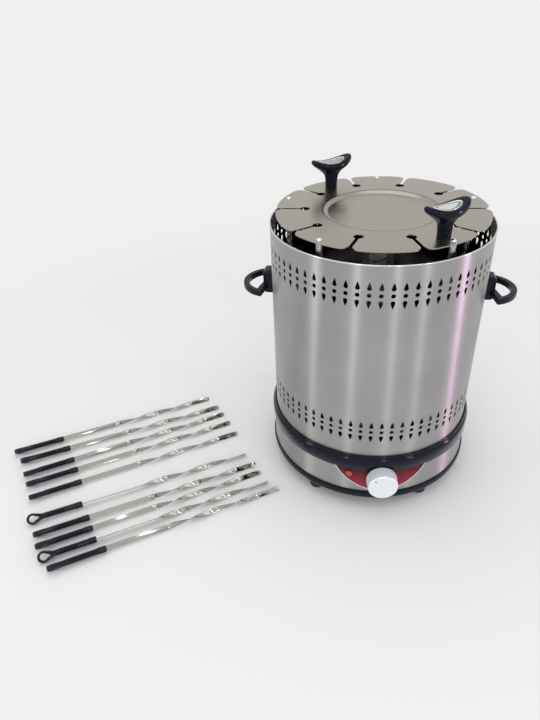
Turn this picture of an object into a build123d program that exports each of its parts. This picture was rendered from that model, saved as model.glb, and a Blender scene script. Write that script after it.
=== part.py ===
from build123d import *
from math import acos, asin, cos, degrees, pi, radians, sin, sqrt, tan
import os

os.makedirs("parts", exist_ok=True)

# Upright electric skewer grill, in millimetres.
# Z is up. The origin is on the grill's axis, in the plane its rubber feet stand on.
# The front, with the timer knob, faces -Y. An azimuth is counted from the front
# towards +X, and "outward" in a local frame is +X before it is turned into place.

# ---------------------------------------------------------------- driving sizes

RUN = 0.05            # radial gap of a running fit
SLIP = 0.2            # radial gap where one fixed piece passes through another
NEAR = 0.3            # gap between a piece and the seat it only rests near

# casing, a lift-off sleeve of sheet steel
CASING_R = 165.0      # outer radius
CASING_WALL = 0.8
CASING_H = 326.5
RIM_R = 1.3           # rolled bead on the top edge
HOLE_COLUMNS = 66     # punched columns round the casing
HOLE_PHASE = -1.6     # azimuth of the column nearest the front
BAND_INSET_LOW = 48.5     # casing's lower edge to the middle of the lower punched band
BAND_INSET_TOP = 44.0     # its upper edge to the middle of the upper one
DOT_R = 2.9
DROP_HALF_W = 2.9     # teardrop, half its width
DROP_L = 12.6
DROP_GAP = 4.3        # from the dot's edge to the teardrop's round end

# base
FOOT_H = 20.0
FOOT_R = 12.5
FOOT_SOLE = 8.0       # solid rubber under the post's end
TRAY_H = 19.5         # bottom tray, up to the lower edge of the side band
TRAY_R = 171.5
TRAY_T = 2.2
TRAY_ROUND = 11.0     # rounding between the tray's floor and its wall
BASE_H = 93.5         # tray underside to the ledge the casing stands on
BAND_R = 169.0        # side band, outer radius
BAND_T = 1.0
BAND_DROP = 10.0      # ledge to the side band's upper edge
TONGUE_H = 8.0        # tray and ring tongues that centre the side band
TONGUE_T = 2.2
SKIRT_T = 2.4         # ring cover's skirt, which laps over the side band
SKIRT_DROP = 26.0     # ledge to the skirt's lower edge
LIP_T = 4.4           # ring cover's inner lip, which centres the casing
LIP_H = 6.0
LIP_GAP = 0.8
DECK_DROP = 1.5       # ledge to the underside of the deck
DECK_T = 1.2
DECK_RIM_H = 4.0
RING_FLANGE_W = 5.0   # ring cover's inner flange, under the deck's edge
RING_FLANGE_T = 3.0

# posts and top plate
POST_CIRCLE_R = 147.0
POST_COUNT = 5
POST_R = 4.75
POST_NECK_R = 3.5     # lower end, in the foot
POST_LOW_R = 7.0      # between the tray and the gear plate
POST_MID_R = 6.0      # between the gear plate and the deck
PLATE_RISE = 14.0     # casing's top edge to the plate's top
PLATE_R = 156.0
PLATE_T = 1.5
PATTERN_TURN = -5.8   # azimuth of the front sector of the plate
SKEWER_COUNT = 10
SKEWER_CIRCLE_R = 112.0
KEYHOLE_R = 7.0
KEYHOLE_SLOT_W = 4.8
MOUTH_FILLET = 11.0
DISH_R = 86.0
DISH_FLOOR_R = 77.0
DISH_DEPTH = 4.0
DOME_R = 4.6          # dome screws on the posts
DOME_H = 2.8
SCREW_R = 2.5
SCREW_L = 9.0

# knobs on the top plate
LID_KNOB_R = 129.0    # from the grill's axis
LID_KNOB_H = 54.0
LID_KNOB_L = 73.0
LID_KNOB_W = 37.0
LID_KNOB_SAG = 9.5    # how far the saddle dips between its ends
LID_KNOB_T = 10.0
LID_STEM_FOOT = 9.2   # stem's radius on the plate
LID_STEM_MID = 10.2   # and a third of the way up, where it starts to flare
INLAY_L = 45.0
INLAY_W = 22.0
INLAY_T = 1.0

# side handles
HANDLE_AZIMUTH = 81.9
HANDLE_LOOP_TOP = 219.5   # above the casing's lower edge
HANDLE_LOOP_T = 9.5
HANDLE_LOOP_R = 45.3
HANDLE_LOOP_W = 9.0
HANDLE_REACH = 213.5      # grill's axis to the outside of the loop
HANDLE_CORNER_OUT = 179.0
HANDLE_CORNER_SIDE = 44.0
HANDLE_BAR_W = 7.6
HANDLE_BOSS_W = 24.0
HANDLE_BOSS_L = 39.0
HANDLE_BOSS_T = 15.0
HANDLE_BOSS_ABOVE = 20.0  # boss top above the loop's top
HANDLE_SCREW_R = 2.0

# skewer drive
MODULE = 4.0
PRESSURE_ANGLE = 25.0
ADDENDUM = 0.8        # times the module
DEDENDUM = 1.1
BACKLASH = 0.7
SUN_TEETH = 42
SPINDLE_TEETH = 14
PINION_TEETH = 12
GEAR_T = 8.0
GEAR_GAP = 2.0        # between the two layers of gears, and above the gear plate
DECK_TO_GEAR = 3.5
GEAR_PLATE_T = 2.0
GEAR_PLATE_R = 128.0
SUN_BORE_R = 30.0
SUN_WINDOW_R = 14.0
JOURNAL_R = 4.0
JOURNAL_L = 12.0
COLLAR_T = 4.0
SPINDLE_R = 5.0
DECK_COLLAR_T = 1.5
DECK_COLLAR_H = 6.0
SOCKET_R = 6.4
SOCKET_BORE_R = 4.6
SOCKET_L = 16.0
SOCKET_DEPTH = 13.0
SOCKET_TOP = 48.0     # above the deck's underside
MOTOR_R = 26.0
MOTOR_HEAD_H = 26.0
MOTOR_CAN_R = 23.0
MOTOR_CAN_H = 20.0
MOTOR_SHAFT_R = 3.5

# drip cups
CUP_R = 29.0
CUP_T = 0.8
CUP_H = 24.0
CUP_TUBE_GAP = 0.6    # round the spindle's socket

# heater
HEATER_TUBE_R = 25.0
HEATER_TUBE_T = 2.0
HEATER_CAP_R = 29.0
HEATER_CAP_H = 16.0
HEATER_SEAT = 4.0     # depth of the tube's seat in each cap
CORE_R = 13.4
COIL_WIRE_R = 1.4
COIL_PITCH = 16.0
COIL_END = 14.0       # bare core at each end of the coil

# timer and panel
TIMER_Z = 72.5
TIMER_SIZE = 38.0
TIMER_DEPTH = 20.0
TIMER_BUSH_R = 5.0
TIMER_SHAFT_R = 3.0
KNOB_R = 24.5
KNOB_L = 21.0
KNOB_GAP = 1.2        # ring cover's skirt to the knob's back
KNOB_WALL = 3.5
KNOB_HUB_R = 8.0
KNOB_FLUTES = 40
FLUTE_R = 0.9
PANEL_T = 1.2
PANEL_TIP_HALF = 73.0     # half width where the arc meets the ring cover
PANEL_TIP_Z = 87.0
PANEL_LOW_Z = 43.0
TRIM_W = 2.2
TRIM_T = 1.8
LAMP_AZIMUTH = -17.2
LAMP_Z = 75.0
LAMP_R = 6.2
LAMP_BODY_R = 5.0
LAMP_BODY_L = 14.0
LAMP_FLANGE_T = 0.9
LAMP_LENS_BALL_R = 7.8
GLAND_Z = 70.0
GLAND_R = 8.0
GLAND_BORE_R = 3.6
GLAND_L = 12.0

# skewers
SKEWER_L = 390.0
HANDLE_L = 91.0
GRIP_R = 5.2
RIB_COUNT = 10
RIB_PITCH = 3.9
RIB_DEPTH = 0.7
GRIP_END_L = 15.0     # plain length beside the blade
EYE_L = 26.0
EYE_W = 18.5
EYE_T = 6.5
EYE_HOLE_W = 11.0
EYE_HOLE_L = 17.0
BLADE_W = 8.5
BLADE_T = 1.5
BLADE_PLAIN_L = 100.0     # flat length from the handle to the first twist
BLADE_TWIST_L = 162.0
BLADE_HALF_TURNS = 2
BLADE_TANG = 30.0         # length of blade inside the handle
TIP_AXIS_HEIGHT = 3.8     # blade's axis above the floor at the tip

# Where the skewers lie beside the grill: the handle's end, the heading of the
# blade from +X, and the roll about the blade, for each skewer in turn.
SKEWER_PLACES = [
    (-669.5, -22.9, 23.8, 47.0),
    (-648.6, -48.6, 23.1, 42.0),
    (-631.0, -82.6, 24.9, 50.0),
    (-616.8, -108.5, 24.7, 44.0),
    (-600.9, -139.3, 24.5, 48.0),
    (-585.8, -189.9, 23.1, -47.0),
    (-564.9, -220.5, 23.8, 40.0),
    (-554.0, -243.2, 24.1, 49.0),
    (-541.7, -265.9, 23.9, -43.0),
    (-521.2, -284.9, 24.4, 46.0),
]

# ------------------------------------------------------------- worked-out levels

TRAY_Z = FOOT_H
TRAY_TOP = TRAY_Z + TRAY_H
LEDGE_Z = TRAY_Z + BASE_H
BAND_TOP = LEDGE_Z - BAND_DROP
SKIRT_LOW = LEDGE_Z - SKIRT_DROP
SKIRT_R = BAND_R + NEAR + SKIRT_T
DECK_Z = LEDGE_Z - DECK_DROP
DECK_TOP = DECK_Z + DECK_T
CASING_TOP = LEDGE_Z + CASING_H
PLATE_TOP = CASING_TOP + PLATE_RISE
PLATE_Z = PLATE_TOP - PLATE_T
SPINDLE_GEAR_Z = DECK_Z - DECK_TO_GEAR - GEAR_T
PINION_Z = SPINDLE_GEAR_Z - GEAR_GAP - GEAR_T
GEAR_PLATE_TOP = PINION_Z - GEAR_GAP
GEAR_PLATE_Z = GEAR_PLATE_TOP - GEAR_PLATE_T
SOCKET_Z = DECK_Z + SOCKET_TOP
SUN_BOSS_R = SUN_BORE_R - RUN
SECTOR = 360.0 / SKEWER_COUNT
POST_STEP = 360.0 / POST_COUNT
FIRST_SPINDLE = PATTERN_TURN + SECTOR / 2
FIRST_POST = PATTERN_TURN + SECTOR
MOTOR_AZIMUTH = PATTERN_TURN + 4 * SECTOR
SUN_R = MODULE * SUN_TEETH / 2
PINION_CIRCLE_R = MODULE * (SUN_TEETH + PINION_TEETH) / 2
SPINDLE_CIRCLE_R = MODULE * (SUN_TEETH + SPINDLE_TEETH) / 2

spindle_azimuths = [FIRST_SPINDLE + SECTOR * i for i in range(SKEWER_COUNT)]
post_azimuths = [FIRST_POST + POST_STEP * i for i in range(POST_COUNT)]
knob_azimuths = [FIRST_POST, FIRST_POST + 180.0]
handle_azimuths = [HANDLE_AZIMUTH, HANDLE_AZIMUTH + 180.0]

# ------------------------------------------------------------------ small helpers

LOW = (Align.CENTER, Align.CENTER, Align.MIN)


def tube(outer, inner, low, high):
    """Upright ring between two heights, or a rod where inner is 0."""
    body = Pos(0, 0, low) * Cylinder(outer, high - low, align=LOW)
    if inner > 0:
        body -= Pos(0, 0, low) * Cylinder(inner, high - low, align=LOW)
    return body


def at(azimuth, radius=0.0, height=0.0):
    """Place a piece made along +X at this azimuth, radius and height."""
    return Rot(0, 0, azimuth - 90) * Pos(radius, 0, height)


def spun(points):
    """Revolve a closed outline of radius and height points about Z."""
    face = make_face(Polyline([(r, 0, z) for r, z in points], close=True))
    return revolve(face, Axis.Z)


def outward(radius, near, far, height):
    """Rod along +X at this height, for holes and round bodies that point outward."""
    return Pos(near, 0, height) * Rot(0, 90, 0) * Cylinder(radius, far - near, align=LOW)


def group(pieces):
    """Keep separate solids together in one node."""
    return Compound([solid for piece in pieces for solid in piece.solids()])


# ------------------------------------------------------------------------- casing

def punched_column():
    """The six holes of one column: dot and two teardrops in either band."""
    start = CASING_R + 3.0
    depth = CASING_WALL + 6.0
    shoulder = 0.26 * DROP_L
    tools = []
    for middle in (LEDGE_Z + BAND_INSET_LOW, CASING_TOP - BAND_INSET_TOP):
        dot = [
            (DOT_R * cos(radians(60 * k)), middle + DOT_R * sin(radians(60 * k)))
            for k in range(6)
        ]
        outlines = [dot]
        for way in (1, -1):
            root = middle + way * (DOT_R + DROP_GAP)
            outlines.append([
                (-0.55 * DROP_HALF_W, root),
                (0.55 * DROP_HALF_W, root),
                (DROP_HALF_W, root + way * shoulder),
                (0, root + way * DROP_L),
                (-DROP_HALF_W, root + way * shoulder),
            ])
        for outline in outlines:
            face = make_face(Polyline([(start, y, z) for y, z in outline], close=True))
            tools.append(extrude(face, depth, dir=(-1, 0, 0)))
    return tools


def handle_screw_heights():
    top = LEDGE_Z + HANDLE_LOOP_TOP + HANDLE_BOSS_ABOVE
    return [top - 0.25 * HANDLE_BOSS_L, top - 0.75 * HANDLE_BOSS_L]


def make_casing():
    wall = tube(CASING_R, CASING_R - CASING_WALL, LEDGE_Z, CASING_TOP - RIM_R)
    bead = Pos(0, 0, CASING_TOP - RIM_R) * Torus(CASING_R - CASING_WALL / 2, RIM_R)
    column = punched_column()
    step = 360.0 / HOLE_COLUMNS
    holes = [at(HOLE_PHASE + step * k) * tool for k in range(HOLE_COLUMNS) for tool in column]
    for azimuth in handle_azimuths:
        for height in handle_screw_heights():
            hole = outward(HANDLE_SCREW_R + SLIP, CASING_R - 10, CASING_R + 10, height)
            holes.append(at(azimuth) * hole)
    return wall.cut(*[solid for hole in holes for solid in hole.solids()]) + bead


# ------------------------------------------------------------------- side handles

def make_side_handle():
    """D-shaped loop with a slightly folded inner bar, and an upright boss."""
    top = LEDGE_Z + HANDLE_LOOP_TOP
    low = top - HANDLE_LOOP_T
    inner_r = HANDLE_LOOP_R - HANDLE_LOOP_W
    centre = HANDLE_REACH - HANDLE_LOOP_R
    seat = CASING_R + HANDLE_BOSS_T / 2
    half = HANDLE_BOSS_W / 2
    corner = (HANDLE_CORNER_OUT, HANDLE_CORNER_SIDE)
    hole_out = HANDLE_CORNER_OUT + HANDLE_BAR_W
    hole_side = sqrt(inner_r**2 - (hole_out - centre) ** 2)
    outside = [
        ThreePointArc(corner, (HANDLE_REACH, 0), (corner[0], -corner[1])),
        Polyline([(corner[0], -corner[1]), (seat, -half), (seat, half), corner]),
    ]
    inside = [
        ThreePointArc((hole_out, hole_side), (centre + inner_r, 0), (hole_out, -hole_side)),
        Polyline([
            (hole_out, -hole_side),
            (seat + HANDLE_BAR_W, -half / 2),
            (seat + HANDLE_BAR_W, half / 2),
            (hole_out, hole_side),
        ]),
    ]
    loop = extrude(make_face(outside), HANDLE_LOOP_T) - extrude(make_face(inside), HANDLE_LOOP_T)
    loop = Pos(0, 0, low) * loop
    loop = fillet(loop.edges().filter_by(lambda e: abs(e.center().Z - low) < 0.01), 1.6)
    loop = fillet(loop.edges().filter_by(lambda e: abs(e.center().Z - top) < 0.01), 1.6)
    boss_top = top + HANDLE_BOSS_ABOVE
    boss_x = CASING_R + HANDLE_BOSS_T / 2 - 2.0
    boss = Pos(boss_x, 0, boss_top - HANDLE_BOSS_L / 2) * Box(
        HANDLE_BOSS_T + 4.0, HANDLE_BOSS_W, HANDLE_BOSS_L
    )
    boss = fillet(boss.edges().filter_by(Axis.Y).group_by(Axis.X)[-1], 6.0)
    boss = fillet(boss.edges().filter_by(Axis.Z).group_by(Axis.X)[-1], 3.0)
    handle = boss + loop
    handle -= tube(CASING_R, 0, low - 80, boss_top + 80)
    for height in handle_screw_heights():
        handle -= outward(HANDLE_SCREW_R + RUN, CASING_R - 5, CASING_R + 10, height)
    return handle


def make_handle_screws():
    """Pan-head screws put in from inside the casing."""
    inner = CASING_R - CASING_WALL
    screws = []
    for azimuth in handle_azimuths:
        for height in handle_screw_heights():
            screw = outward(HANDLE_SCREW_R, inner - 1.0, CASING_R + 8, height)
            head = outward(2.0 * HANDLE_SCREW_R, inner - 2.6, inner - 0.2, height)
            screws.append(at(azimuth) * (screw + head))
    return group(screws)


# --------------------------------------------------------------------------- base

def make_bottom_tray():
    """Pressed tray with a rounded edge, vents and a tongue for the side band."""
    inner = TRAY_R - TRAY_T
    tongue_out = BAND_R - BAND_T - NEAR
    tongue_in = tongue_out - TONGUE_T
    round_z = TRAY_Z + TRAY_ROUND
    floor_top = TRAY_Z + TRAY_T
    skin = make_face([
        Line((0, 0, TRAY_Z), (TRAY_R - TRAY_ROUND, 0, TRAY_Z)),
        TangentArc(
            (TRAY_R - TRAY_ROUND, 0, TRAY_Z), (TRAY_R, 0, round_z), tangent=(1, 0, 0)
        ),
        Polyline([
            (TRAY_R, 0, round_z),
            (TRAY_R, 0, TRAY_TOP),
            (tongue_out, 0, TRAY_TOP),
            (tongue_out, 0, TRAY_TOP + TONGUE_H),
            (tongue_in, 0, TRAY_TOP + TONGUE_H),
            (tongue_in, 0, TRAY_TOP - TRAY_T),
            (inner, 0, TRAY_TOP - TRAY_T),
            (inner, 0, round_z),
        ]),
        TangentArc(
            (inner, 0, round_z), (TRAY_R - TRAY_ROUND, 0, floor_top), tangent=(0, 0, -1)
        ),
        Polyline([
            (TRAY_R - TRAY_ROUND, 0, floor_top), (0, 0, floor_top), (0, 0, TRAY_Z)
        ]),
    ])
    tray = revolve(skin, Axis.Z)
    for azimuth in post_azimuths:
        tray -= at(azimuth, POST_CIRCLE_R) * tube(POST_NECK_R + SLIP, 0, TRAY_Z - 1, floor_top + 1)
    slot = Pos(0, 0, TRAY_Z - 1) * extrude(SlotOverall(34, 5), TRAY_T + 2)
    for k in range(2 * SKEWER_COUNT):
        tray -= at(PATTERN_TURN + k * SECTOR / 2, 80) * slot
    return tray


def make_feet():
    """Tapered rubber feet, pushed onto the lower ends of the posts."""
    foot = spun([
        (0, 0), (FOOT_R - 1, 0), (FOOT_R, 2), (FOOT_R - 2, FOOT_H),
        (POST_NECK_R + RUN, FOOT_H), (POST_NECK_R + RUN, FOOT_SOLE), (0, FOOT_SOLE),
    ])
    return group([at(a, POST_CIRCLE_R) * foot for a in post_azimuths])


def make_side_band():
    band = tube(BAND_R, BAND_R - BAND_T, TRAY_TOP, BAND_TOP)
    near, far = BAND_R - 10, BAND_R + 10
    band -= at(0) * outward(TIMER_BUSH_R + SLIP, near, far, TIMER_Z)
    band -= at(LAMP_AZIMUTH) * outward(LAMP_BODY_R + SLIP, near, far, LAMP_Z)
    band -= at(180) * outward(GLAND_R - 2 + SLIP, near, far, GLAND_Z)
    return band


def make_ring_cover():
    """Moulded ring with two beads, a skirt over the band, a lip inside the casing."""
    lip_out = CASING_R - CASING_WALL - LIP_GAP
    lip_in = lip_out - LIP_T
    flange_in = lip_in - RING_FLANGE_W
    tongue_out = BAND_R - BAND_T - NEAR
    tongue_in = tongue_out - TONGUE_T
    skirt_in = SKIRT_R - SKIRT_T
    bead = (CASING_R + 1.2, LEDGE_Z)
    crest = (CASING_R + 2.4, LEDGE_Z + 1.5)
    valley = (CASING_R + 3.6, LEDGE_Z - 0.4)
    groove = (CASING_R + 3.9, LEDGE_Z - 3.4)
    swell = (SKIRT_R - 0.9, LEDGE_Z - 5.4)
    shoulder = (SKIRT_R, LEDGE_Z - 9.0)
    outline = make_face([
        Polyline([
            (flange_in, 0, DECK_Z - RING_FLANGE_T),
            (flange_in, 0, DECK_Z),
            (lip_in, 0, DECK_Z),
            (lip_in, 0, LEDGE_Z + LIP_H),
            (lip_out, 0, LEDGE_Z + LIP_H),
            (lip_out, 0, LEDGE_Z),
            (bead[0], 0, bead[1]),
        ]),
        ThreePointArc(
            (bead[0], 0, bead[1]), (crest[0], 0, crest[1]), (valley[0], 0, valley[1])
        ),
        Line((valley[0], 0, valley[1]), (groove[0], 0, groove[1])),
        ThreePointArc(
            (groove[0], 0, groove[1]), (swell[0], 0, swell[1]), (shoulder[0], 0, shoulder[1])
        ),
        Polyline([
            (shoulder[0], 0, shoulder[1]),
            (SKIRT_R, 0, SKIRT_LOW),
            (skirt_in, 0, SKIRT_LOW),
            (skirt_in, 0, BAND_TOP),
            (tongue_out, 0, BAND_TOP),
            (tongue_out, 0, BAND_TOP - TONGUE_H),
            (tongue_in, 0, BAND_TOP - TONGUE_H),
            (tongue_in, 0, DECK_Z - RING_FLANGE_T),
            (flange_in, 0, DECK_Z - RING_FLANGE_T),
        ]),
    ])
    return revolve(outline, Axis.Z)


def make_deck():
    """Enamelled floor of the cooking space, with a drawn collar at each spindle."""
    edge = CASING_R - CASING_WALL - LIP_GAP - LIP_T - NEAR
    deck = tube(edge, SUN_BOSS_R - 8, DECK_Z, DECK_TOP)
    deck += tube(edge, edge - DECK_T, DECK_Z, DECK_TOP + DECK_RIM_H)
    for azimuth in spindle_azimuths:
        place = at(azimuth, SPINDLE_CIRCLE_R)
        deck += place * tube(SPINDLE_R + RUN + DECK_COLLAR_T, 0, DECK_Z, DECK_Z + DECK_COLLAR_H)
        deck -= place * tube(SPINDLE_R + RUN, 0, DECK_Z - 1, DECK_Z + DECK_COLLAR_H + 1)
    for azimuth in post_azimuths:
        deck -= at(azimuth, POST_CIRCLE_R) * tube(POST_R + SLIP, 0, DECK_Z - 1, DECK_TOP + 1)
    return deck


def make_gear_plate():
    """Carrier plate: lugs on the posts, bearings for spindles and sun gear."""
    plate = tube(GEAR_PLATE_R, 0, GEAR_PLATE_Z, GEAR_PLATE_TOP)
    for azimuth in post_azimuths:
        arm = Pos((GEAR_PLATE_R + POST_CIRCLE_R) / 2 - 3, 0, GEAR_PLATE_Z + GEAR_PLATE_T / 2)
        arm_l = POST_CIRCLE_R - GEAR_PLATE_R + 6
        plate += at(azimuth) * arm * Box(arm_l, 20, GEAR_PLATE_T)
        plate += at(azimuth, POST_CIRCLE_R) * tube(10, 0, GEAR_PLATE_Z, GEAR_PLATE_TOP)
    plate += tube(SUN_BOSS_R, 0, GEAR_PLATE_Z, DECK_Z)
    plate -= tube(SUN_BOSS_R - 6, 0, GEAR_PLATE_Z - 1, DECK_Z + 1)
    for azimuth in spindle_azimuths:
        place = at(azimuth, SPINDLE_CIRCLE_R)
        collar_low = GEAR_PLATE_TOP - JOURNAL_L
        plate += place * tube(JOURNAL_R + COLLAR_T, 0, collar_low, GEAR_PLATE_TOP)
        plate -= place * tube(JOURNAL_R + RUN, 0, collar_low - 1, GEAR_PLATE_TOP + 1)
    for azimuth in post_azimuths:
        place = at(azimuth, POST_CIRCLE_R)
        plate -= place * tube(POST_MID_R + SLIP, 0, GEAR_PLATE_Z - 1, GEAR_PLATE_TOP + 1)
    place = at(MOTOR_AZIMUTH, PINION_CIRCLE_R)
    plate -= place * tube(MOTOR_SHAFT_R + 2, 0, GEAR_PLATE_Z - 1, GEAR_PLATE_TOP + 1)
    return plate


def make_posts():
    """Turned posts: foot end, two shoulders for the plates, bright upper length."""
    post = tube(POST_NECK_R, 0, FOOT_SOLE + SLIP, TRAY_Z + TRAY_T)
    post += tube(POST_LOW_R, 0, TRAY_Z + TRAY_T, GEAR_PLATE_Z)
    post += tube(POST_MID_R, 0, GEAR_PLATE_Z, DECK_Z)
    post += tube(POST_R, 0, DECK_Z, PLATE_Z)
    post -= tube(SCREW_R + RUN, 0, PLATE_Z - SCREW_L, PLATE_Z + 1)
    return group([at(a, POST_CIRCLE_R) * post for a in post_azimuths])


def make_motor():
    """Geared synchronous motor hung under the gear plate."""
    low = GEAR_PLATE_Z - MOTOR_HEAD_H
    motor = tube(MOTOR_R, 0, low, GEAR_PLATE_Z)
    motor = chamfer(motor.edges().group_by(Axis.Z)[0], 1.5)
    can = tube(MOTOR_CAN_R, 0, low - MOTOR_CAN_H, low)
    motor += fillet(can.edges().group_by(Axis.Z)[0], 2.0)
    motor -= tube(MOTOR_SHAFT_R + RUN, 0, GEAR_PLATE_Z - 15, GEAR_PLATE_Z + 1)
    return at(MOTOR_AZIMUTH, PINION_CIRCLE_R) * motor


def make_terminal_block():
    """Three-way ceramic block on the tray, where the supply lead ends."""
    height = 15.0
    low = TRAY_Z + TRAY_T
    block = Pos(0, 0, low + height / 2) * Box(20, 42, height)
    block = chamfer(block.edges().group_by(Axis.Z)[-1], 1.5)
    for k in (-1, 0, 1):
        top = Pos(0, 13 * k, low + height - 8)
        block -= top * Cylinder(2.6, 9, align=LOW)
        block -= Pos(0, 13 * k, low + 6) * Rot(0, 90, 0) * Cylinder(2.2, 30)
    return at(180, 112) * block


def band_back(half_width):
    """Where a flat face this wide meets the inside of the round side band."""
    return sqrt((BAND_R - BAND_T) ** 2 - half_width**2)


def make_cord_gland():
    """Bush through the side band where the supply lead enters."""
    near = BAND_R - BAND_T - 6
    gland = outward(GLAND_R - 2, near, BAND_R + 1, GLAND_Z)
    gland += outward(GLAND_R, BAND_R + SLIP / 2, BAND_R + 3.5, GLAND_Z)
    cone = Pos(BAND_R + 3.5, 0, GLAND_Z) * Rot(0, 90, 0) * Cone(
        GLAND_R - 1.2, GLAND_R - 2.6, GLAND_L - 3.5, align=LOW
    )
    gland += cone
    gland += outward(GLAND_R, near, band_back(GLAND_R) - SLIP / 2, GLAND_Z)
    gland -= outward(GLAND_BORE_R, near - 1, BAND_R + GLAND_L + 1, GLAND_Z)
    return at(180) * gland


# -------------------------------------------------------------------------- gears

def involute(base, radius):
    """Polar angle swept by the involute of a base circle out to a radius."""
    if radius <= base:
        return 0.0
    pressure = acos(base / radius)
    return tan(pressure) - pressure


def gear_face(teeth, turn):
    """Gear outline with involute flanks, its first tooth centred on the angle turn."""
    pitch_r = MODULE * teeth / 2
    base_r = pitch_r * cos(radians(PRESSURE_ANGLE))
    tip_r = pitch_r + ADDENDUM * MODULE
    root_r = pitch_r - DEDENDUM * MODULE
    half_tooth = (pi * MODULE / 2 - BACKLASH / 2) / (2 * pitch_r)
    at_base = half_tooth + involute(base_r, pitch_r)
    flank = [max(base_r, root_r), pitch_r - 0.2 * MODULE, pitch_r + 0.3 * MODULE, tip_r]
    half = [(root_r, at_base)] + [(r, at_base - involute(base_r, r)) for r in flank]
    if base_r <= root_r:
        half = half[1:]
    points = []
    for k in range(teeth):
        middle = radians(turn) + 2 * pi * k / teeth
        for r, a in half:
            points.append((r * cos(middle - a), r * sin(middle - a)))
        for r, a in reversed(half):
            points.append((r * cos(middle + a), r * sin(middle + a)))
    return make_face(Polyline(points, close=True))


def meshed_turn(azimuth, teeth):
    """First-tooth angle of a gear at this azimuth, so that it meshes with the sun."""
    place = azimuth - 90
    pitch = 360.0 / teeth
    phase = (place / (360.0 / SUN_TEETH)) % 1
    return place + 180 - pitch * (0.5 - phase)


def make_sun_gear():
    """Double-width gear that drives all spindles and is driven by the pinion."""
    sun = Pos(0, 0, PINION_Z) * extrude(gear_face(SUN_TEETH, 0), 2 * GEAR_T + GEAR_GAP)
    high = PINION_Z + 2 * GEAR_T + GEAR_GAP + 1
    sun -= tube(SUN_BORE_R, 0, PINION_Z - 1, high)
    middle = (SUN_BORE_R + SUN_R - DEDENDUM * MODULE) / 2
    for k in range(6):
        sun -= at(60 * k, middle) * tube(SUN_WINDOW_R, 0, PINION_Z - 1, high)
    return sun


def make_pinion():
    gear = extrude(gear_face(PINION_TEETH, meshed_turn(MOTOR_AZIMUTH, PINION_TEETH)), GEAR_T)
    place = Rot(0, 0, MOTOR_AZIMUTH - 90) * Pos(PINION_CIRCLE_R, 0, 0)
    centre = Pos(*place.position)
    return centre * (Pos(0, 0, PINION_Z) * gear + tube(
        MOTOR_SHAFT_R, 0, GEAR_PLATE_Z - 13, PINION_Z + GEAR_T
    ))


def make_spindle(azimuth):
    """Gear, journal, shaft and skewer socket turned as one piece."""
    gear = extrude(gear_face(SPINDLE_TEETH, meshed_turn(azimuth, SPINDLE_TEETH)), GEAR_T)
    centre = Pos(*at(azimuth, SPINDLE_CIRCLE_R).position)
    spindle = Pos(0, 0, SPINDLE_GEAR_Z) * gear
    spindle += tube(JOURNAL_R, 0, GEAR_PLATE_TOP - JOURNAL_L, SPINDLE_GEAR_Z)
    spindle += tube(JOURNAL_R + COLLAR_T / 2, 0, GEAR_PLATE_TOP + NEAR, SPINDLE_GEAR_Z)
    spindle += tube(SPINDLE_R, 0, SPINDLE_GEAR_Z, SOCKET_Z - SOCKET_L)
    spindle += tube(SOCKET_R, 0, SOCKET_Z - SOCKET_L, SOCKET_Z)
    spindle -= tube(SOCKET_BORE_R, 0, SOCKET_Z - SOCKET_DEPTH, SOCKET_Z + 1)
    spindle -= Pos(0, 0, SOCKET_Z - 2) * Box(2.2 * SOCKET_R, 2.4, 5)
    return centre * spindle


# -------------------------------------------------------------- inside the casing

def make_drip_cups():
    """Pressed cups that catch the fat, each with a tube round its spindle."""
    tube_in = SOCKET_R + CUP_TUBE_GAP
    cup = spun([
        (tube_in, DECK_TOP),
        (CUP_R - 3, DECK_TOP),
        (CUP_R, DECK_TOP + 3),
        (CUP_R, DECK_TOP + CUP_H),
        (CUP_R - CUP_T, DECK_TOP + CUP_H),
        (CUP_R - CUP_T, DECK_TOP + 3.4),
        (CUP_R - 3.4, DECK_TOP + CUP_T),
        (tube_in + CUP_T, DECK_TOP + CUP_T),
        (tube_in + CUP_T, DECK_TOP + CUP_H),
        (tube_in, DECK_TOP + CUP_H),
    ])
    return group([at(a, SPINDLE_CIRCLE_R) * cup for a in spindle_azimuths])


HEATER_LOW = DECK_TOP
HEATER_HIGH = PLATE_Z - DISH_DEPTH


def make_heater_caps():
    """Ceramic holders under and over the quartz tube."""
    seat_out = HEATER_TUBE_R + SLIP
    seat_in = HEATER_TUBE_R - HEATER_TUBE_T - SLIP
    low = tube(HEATER_CAP_R, 0, HEATER_LOW, HEATER_LOW + HEATER_CAP_H)
    low -= tube(seat_out, seat_in, HEATER_LOW + HEATER_CAP_H - HEATER_SEAT, HEATER_LOW + 50)
    low -= tube(CORE_R + SLIP, 0, HEATER_LOW + HEATER_CAP_H - HEATER_SEAT, HEATER_LOW + 50)
    high = tube(HEATER_CAP_R, 0, HEATER_HIGH - HEATER_CAP_H, HEATER_HIGH)
    under = HEATER_HIGH - HEATER_CAP_H + HEATER_SEAT
    high -= tube(seat_out, seat_in, HEATER_HIGH - 50, under)
    high -= tube(CORE_R + SLIP, 0, HEATER_HIGH - 50, under)
    low = chamfer(low.edges().group_by(Axis.Z)[0], 1.5)
    high = chamfer(high.edges().group_by(Axis.Z)[-1], 1.5)
    return group([low, high])


def heater_span():
    low = HEATER_LOW + HEATER_CAP_H - HEATER_SEAT + NEAR
    return low, HEATER_HIGH - HEATER_CAP_H + HEATER_SEAT - NEAR


def make_heater_tube():
    low, high = heater_span()
    return tube(HEATER_TUBE_R, HEATER_TUBE_R - HEATER_TUBE_T, low, high)


def make_heater_core():
    low, high = heater_span()
    return tube(CORE_R, 0, low, high)


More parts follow.
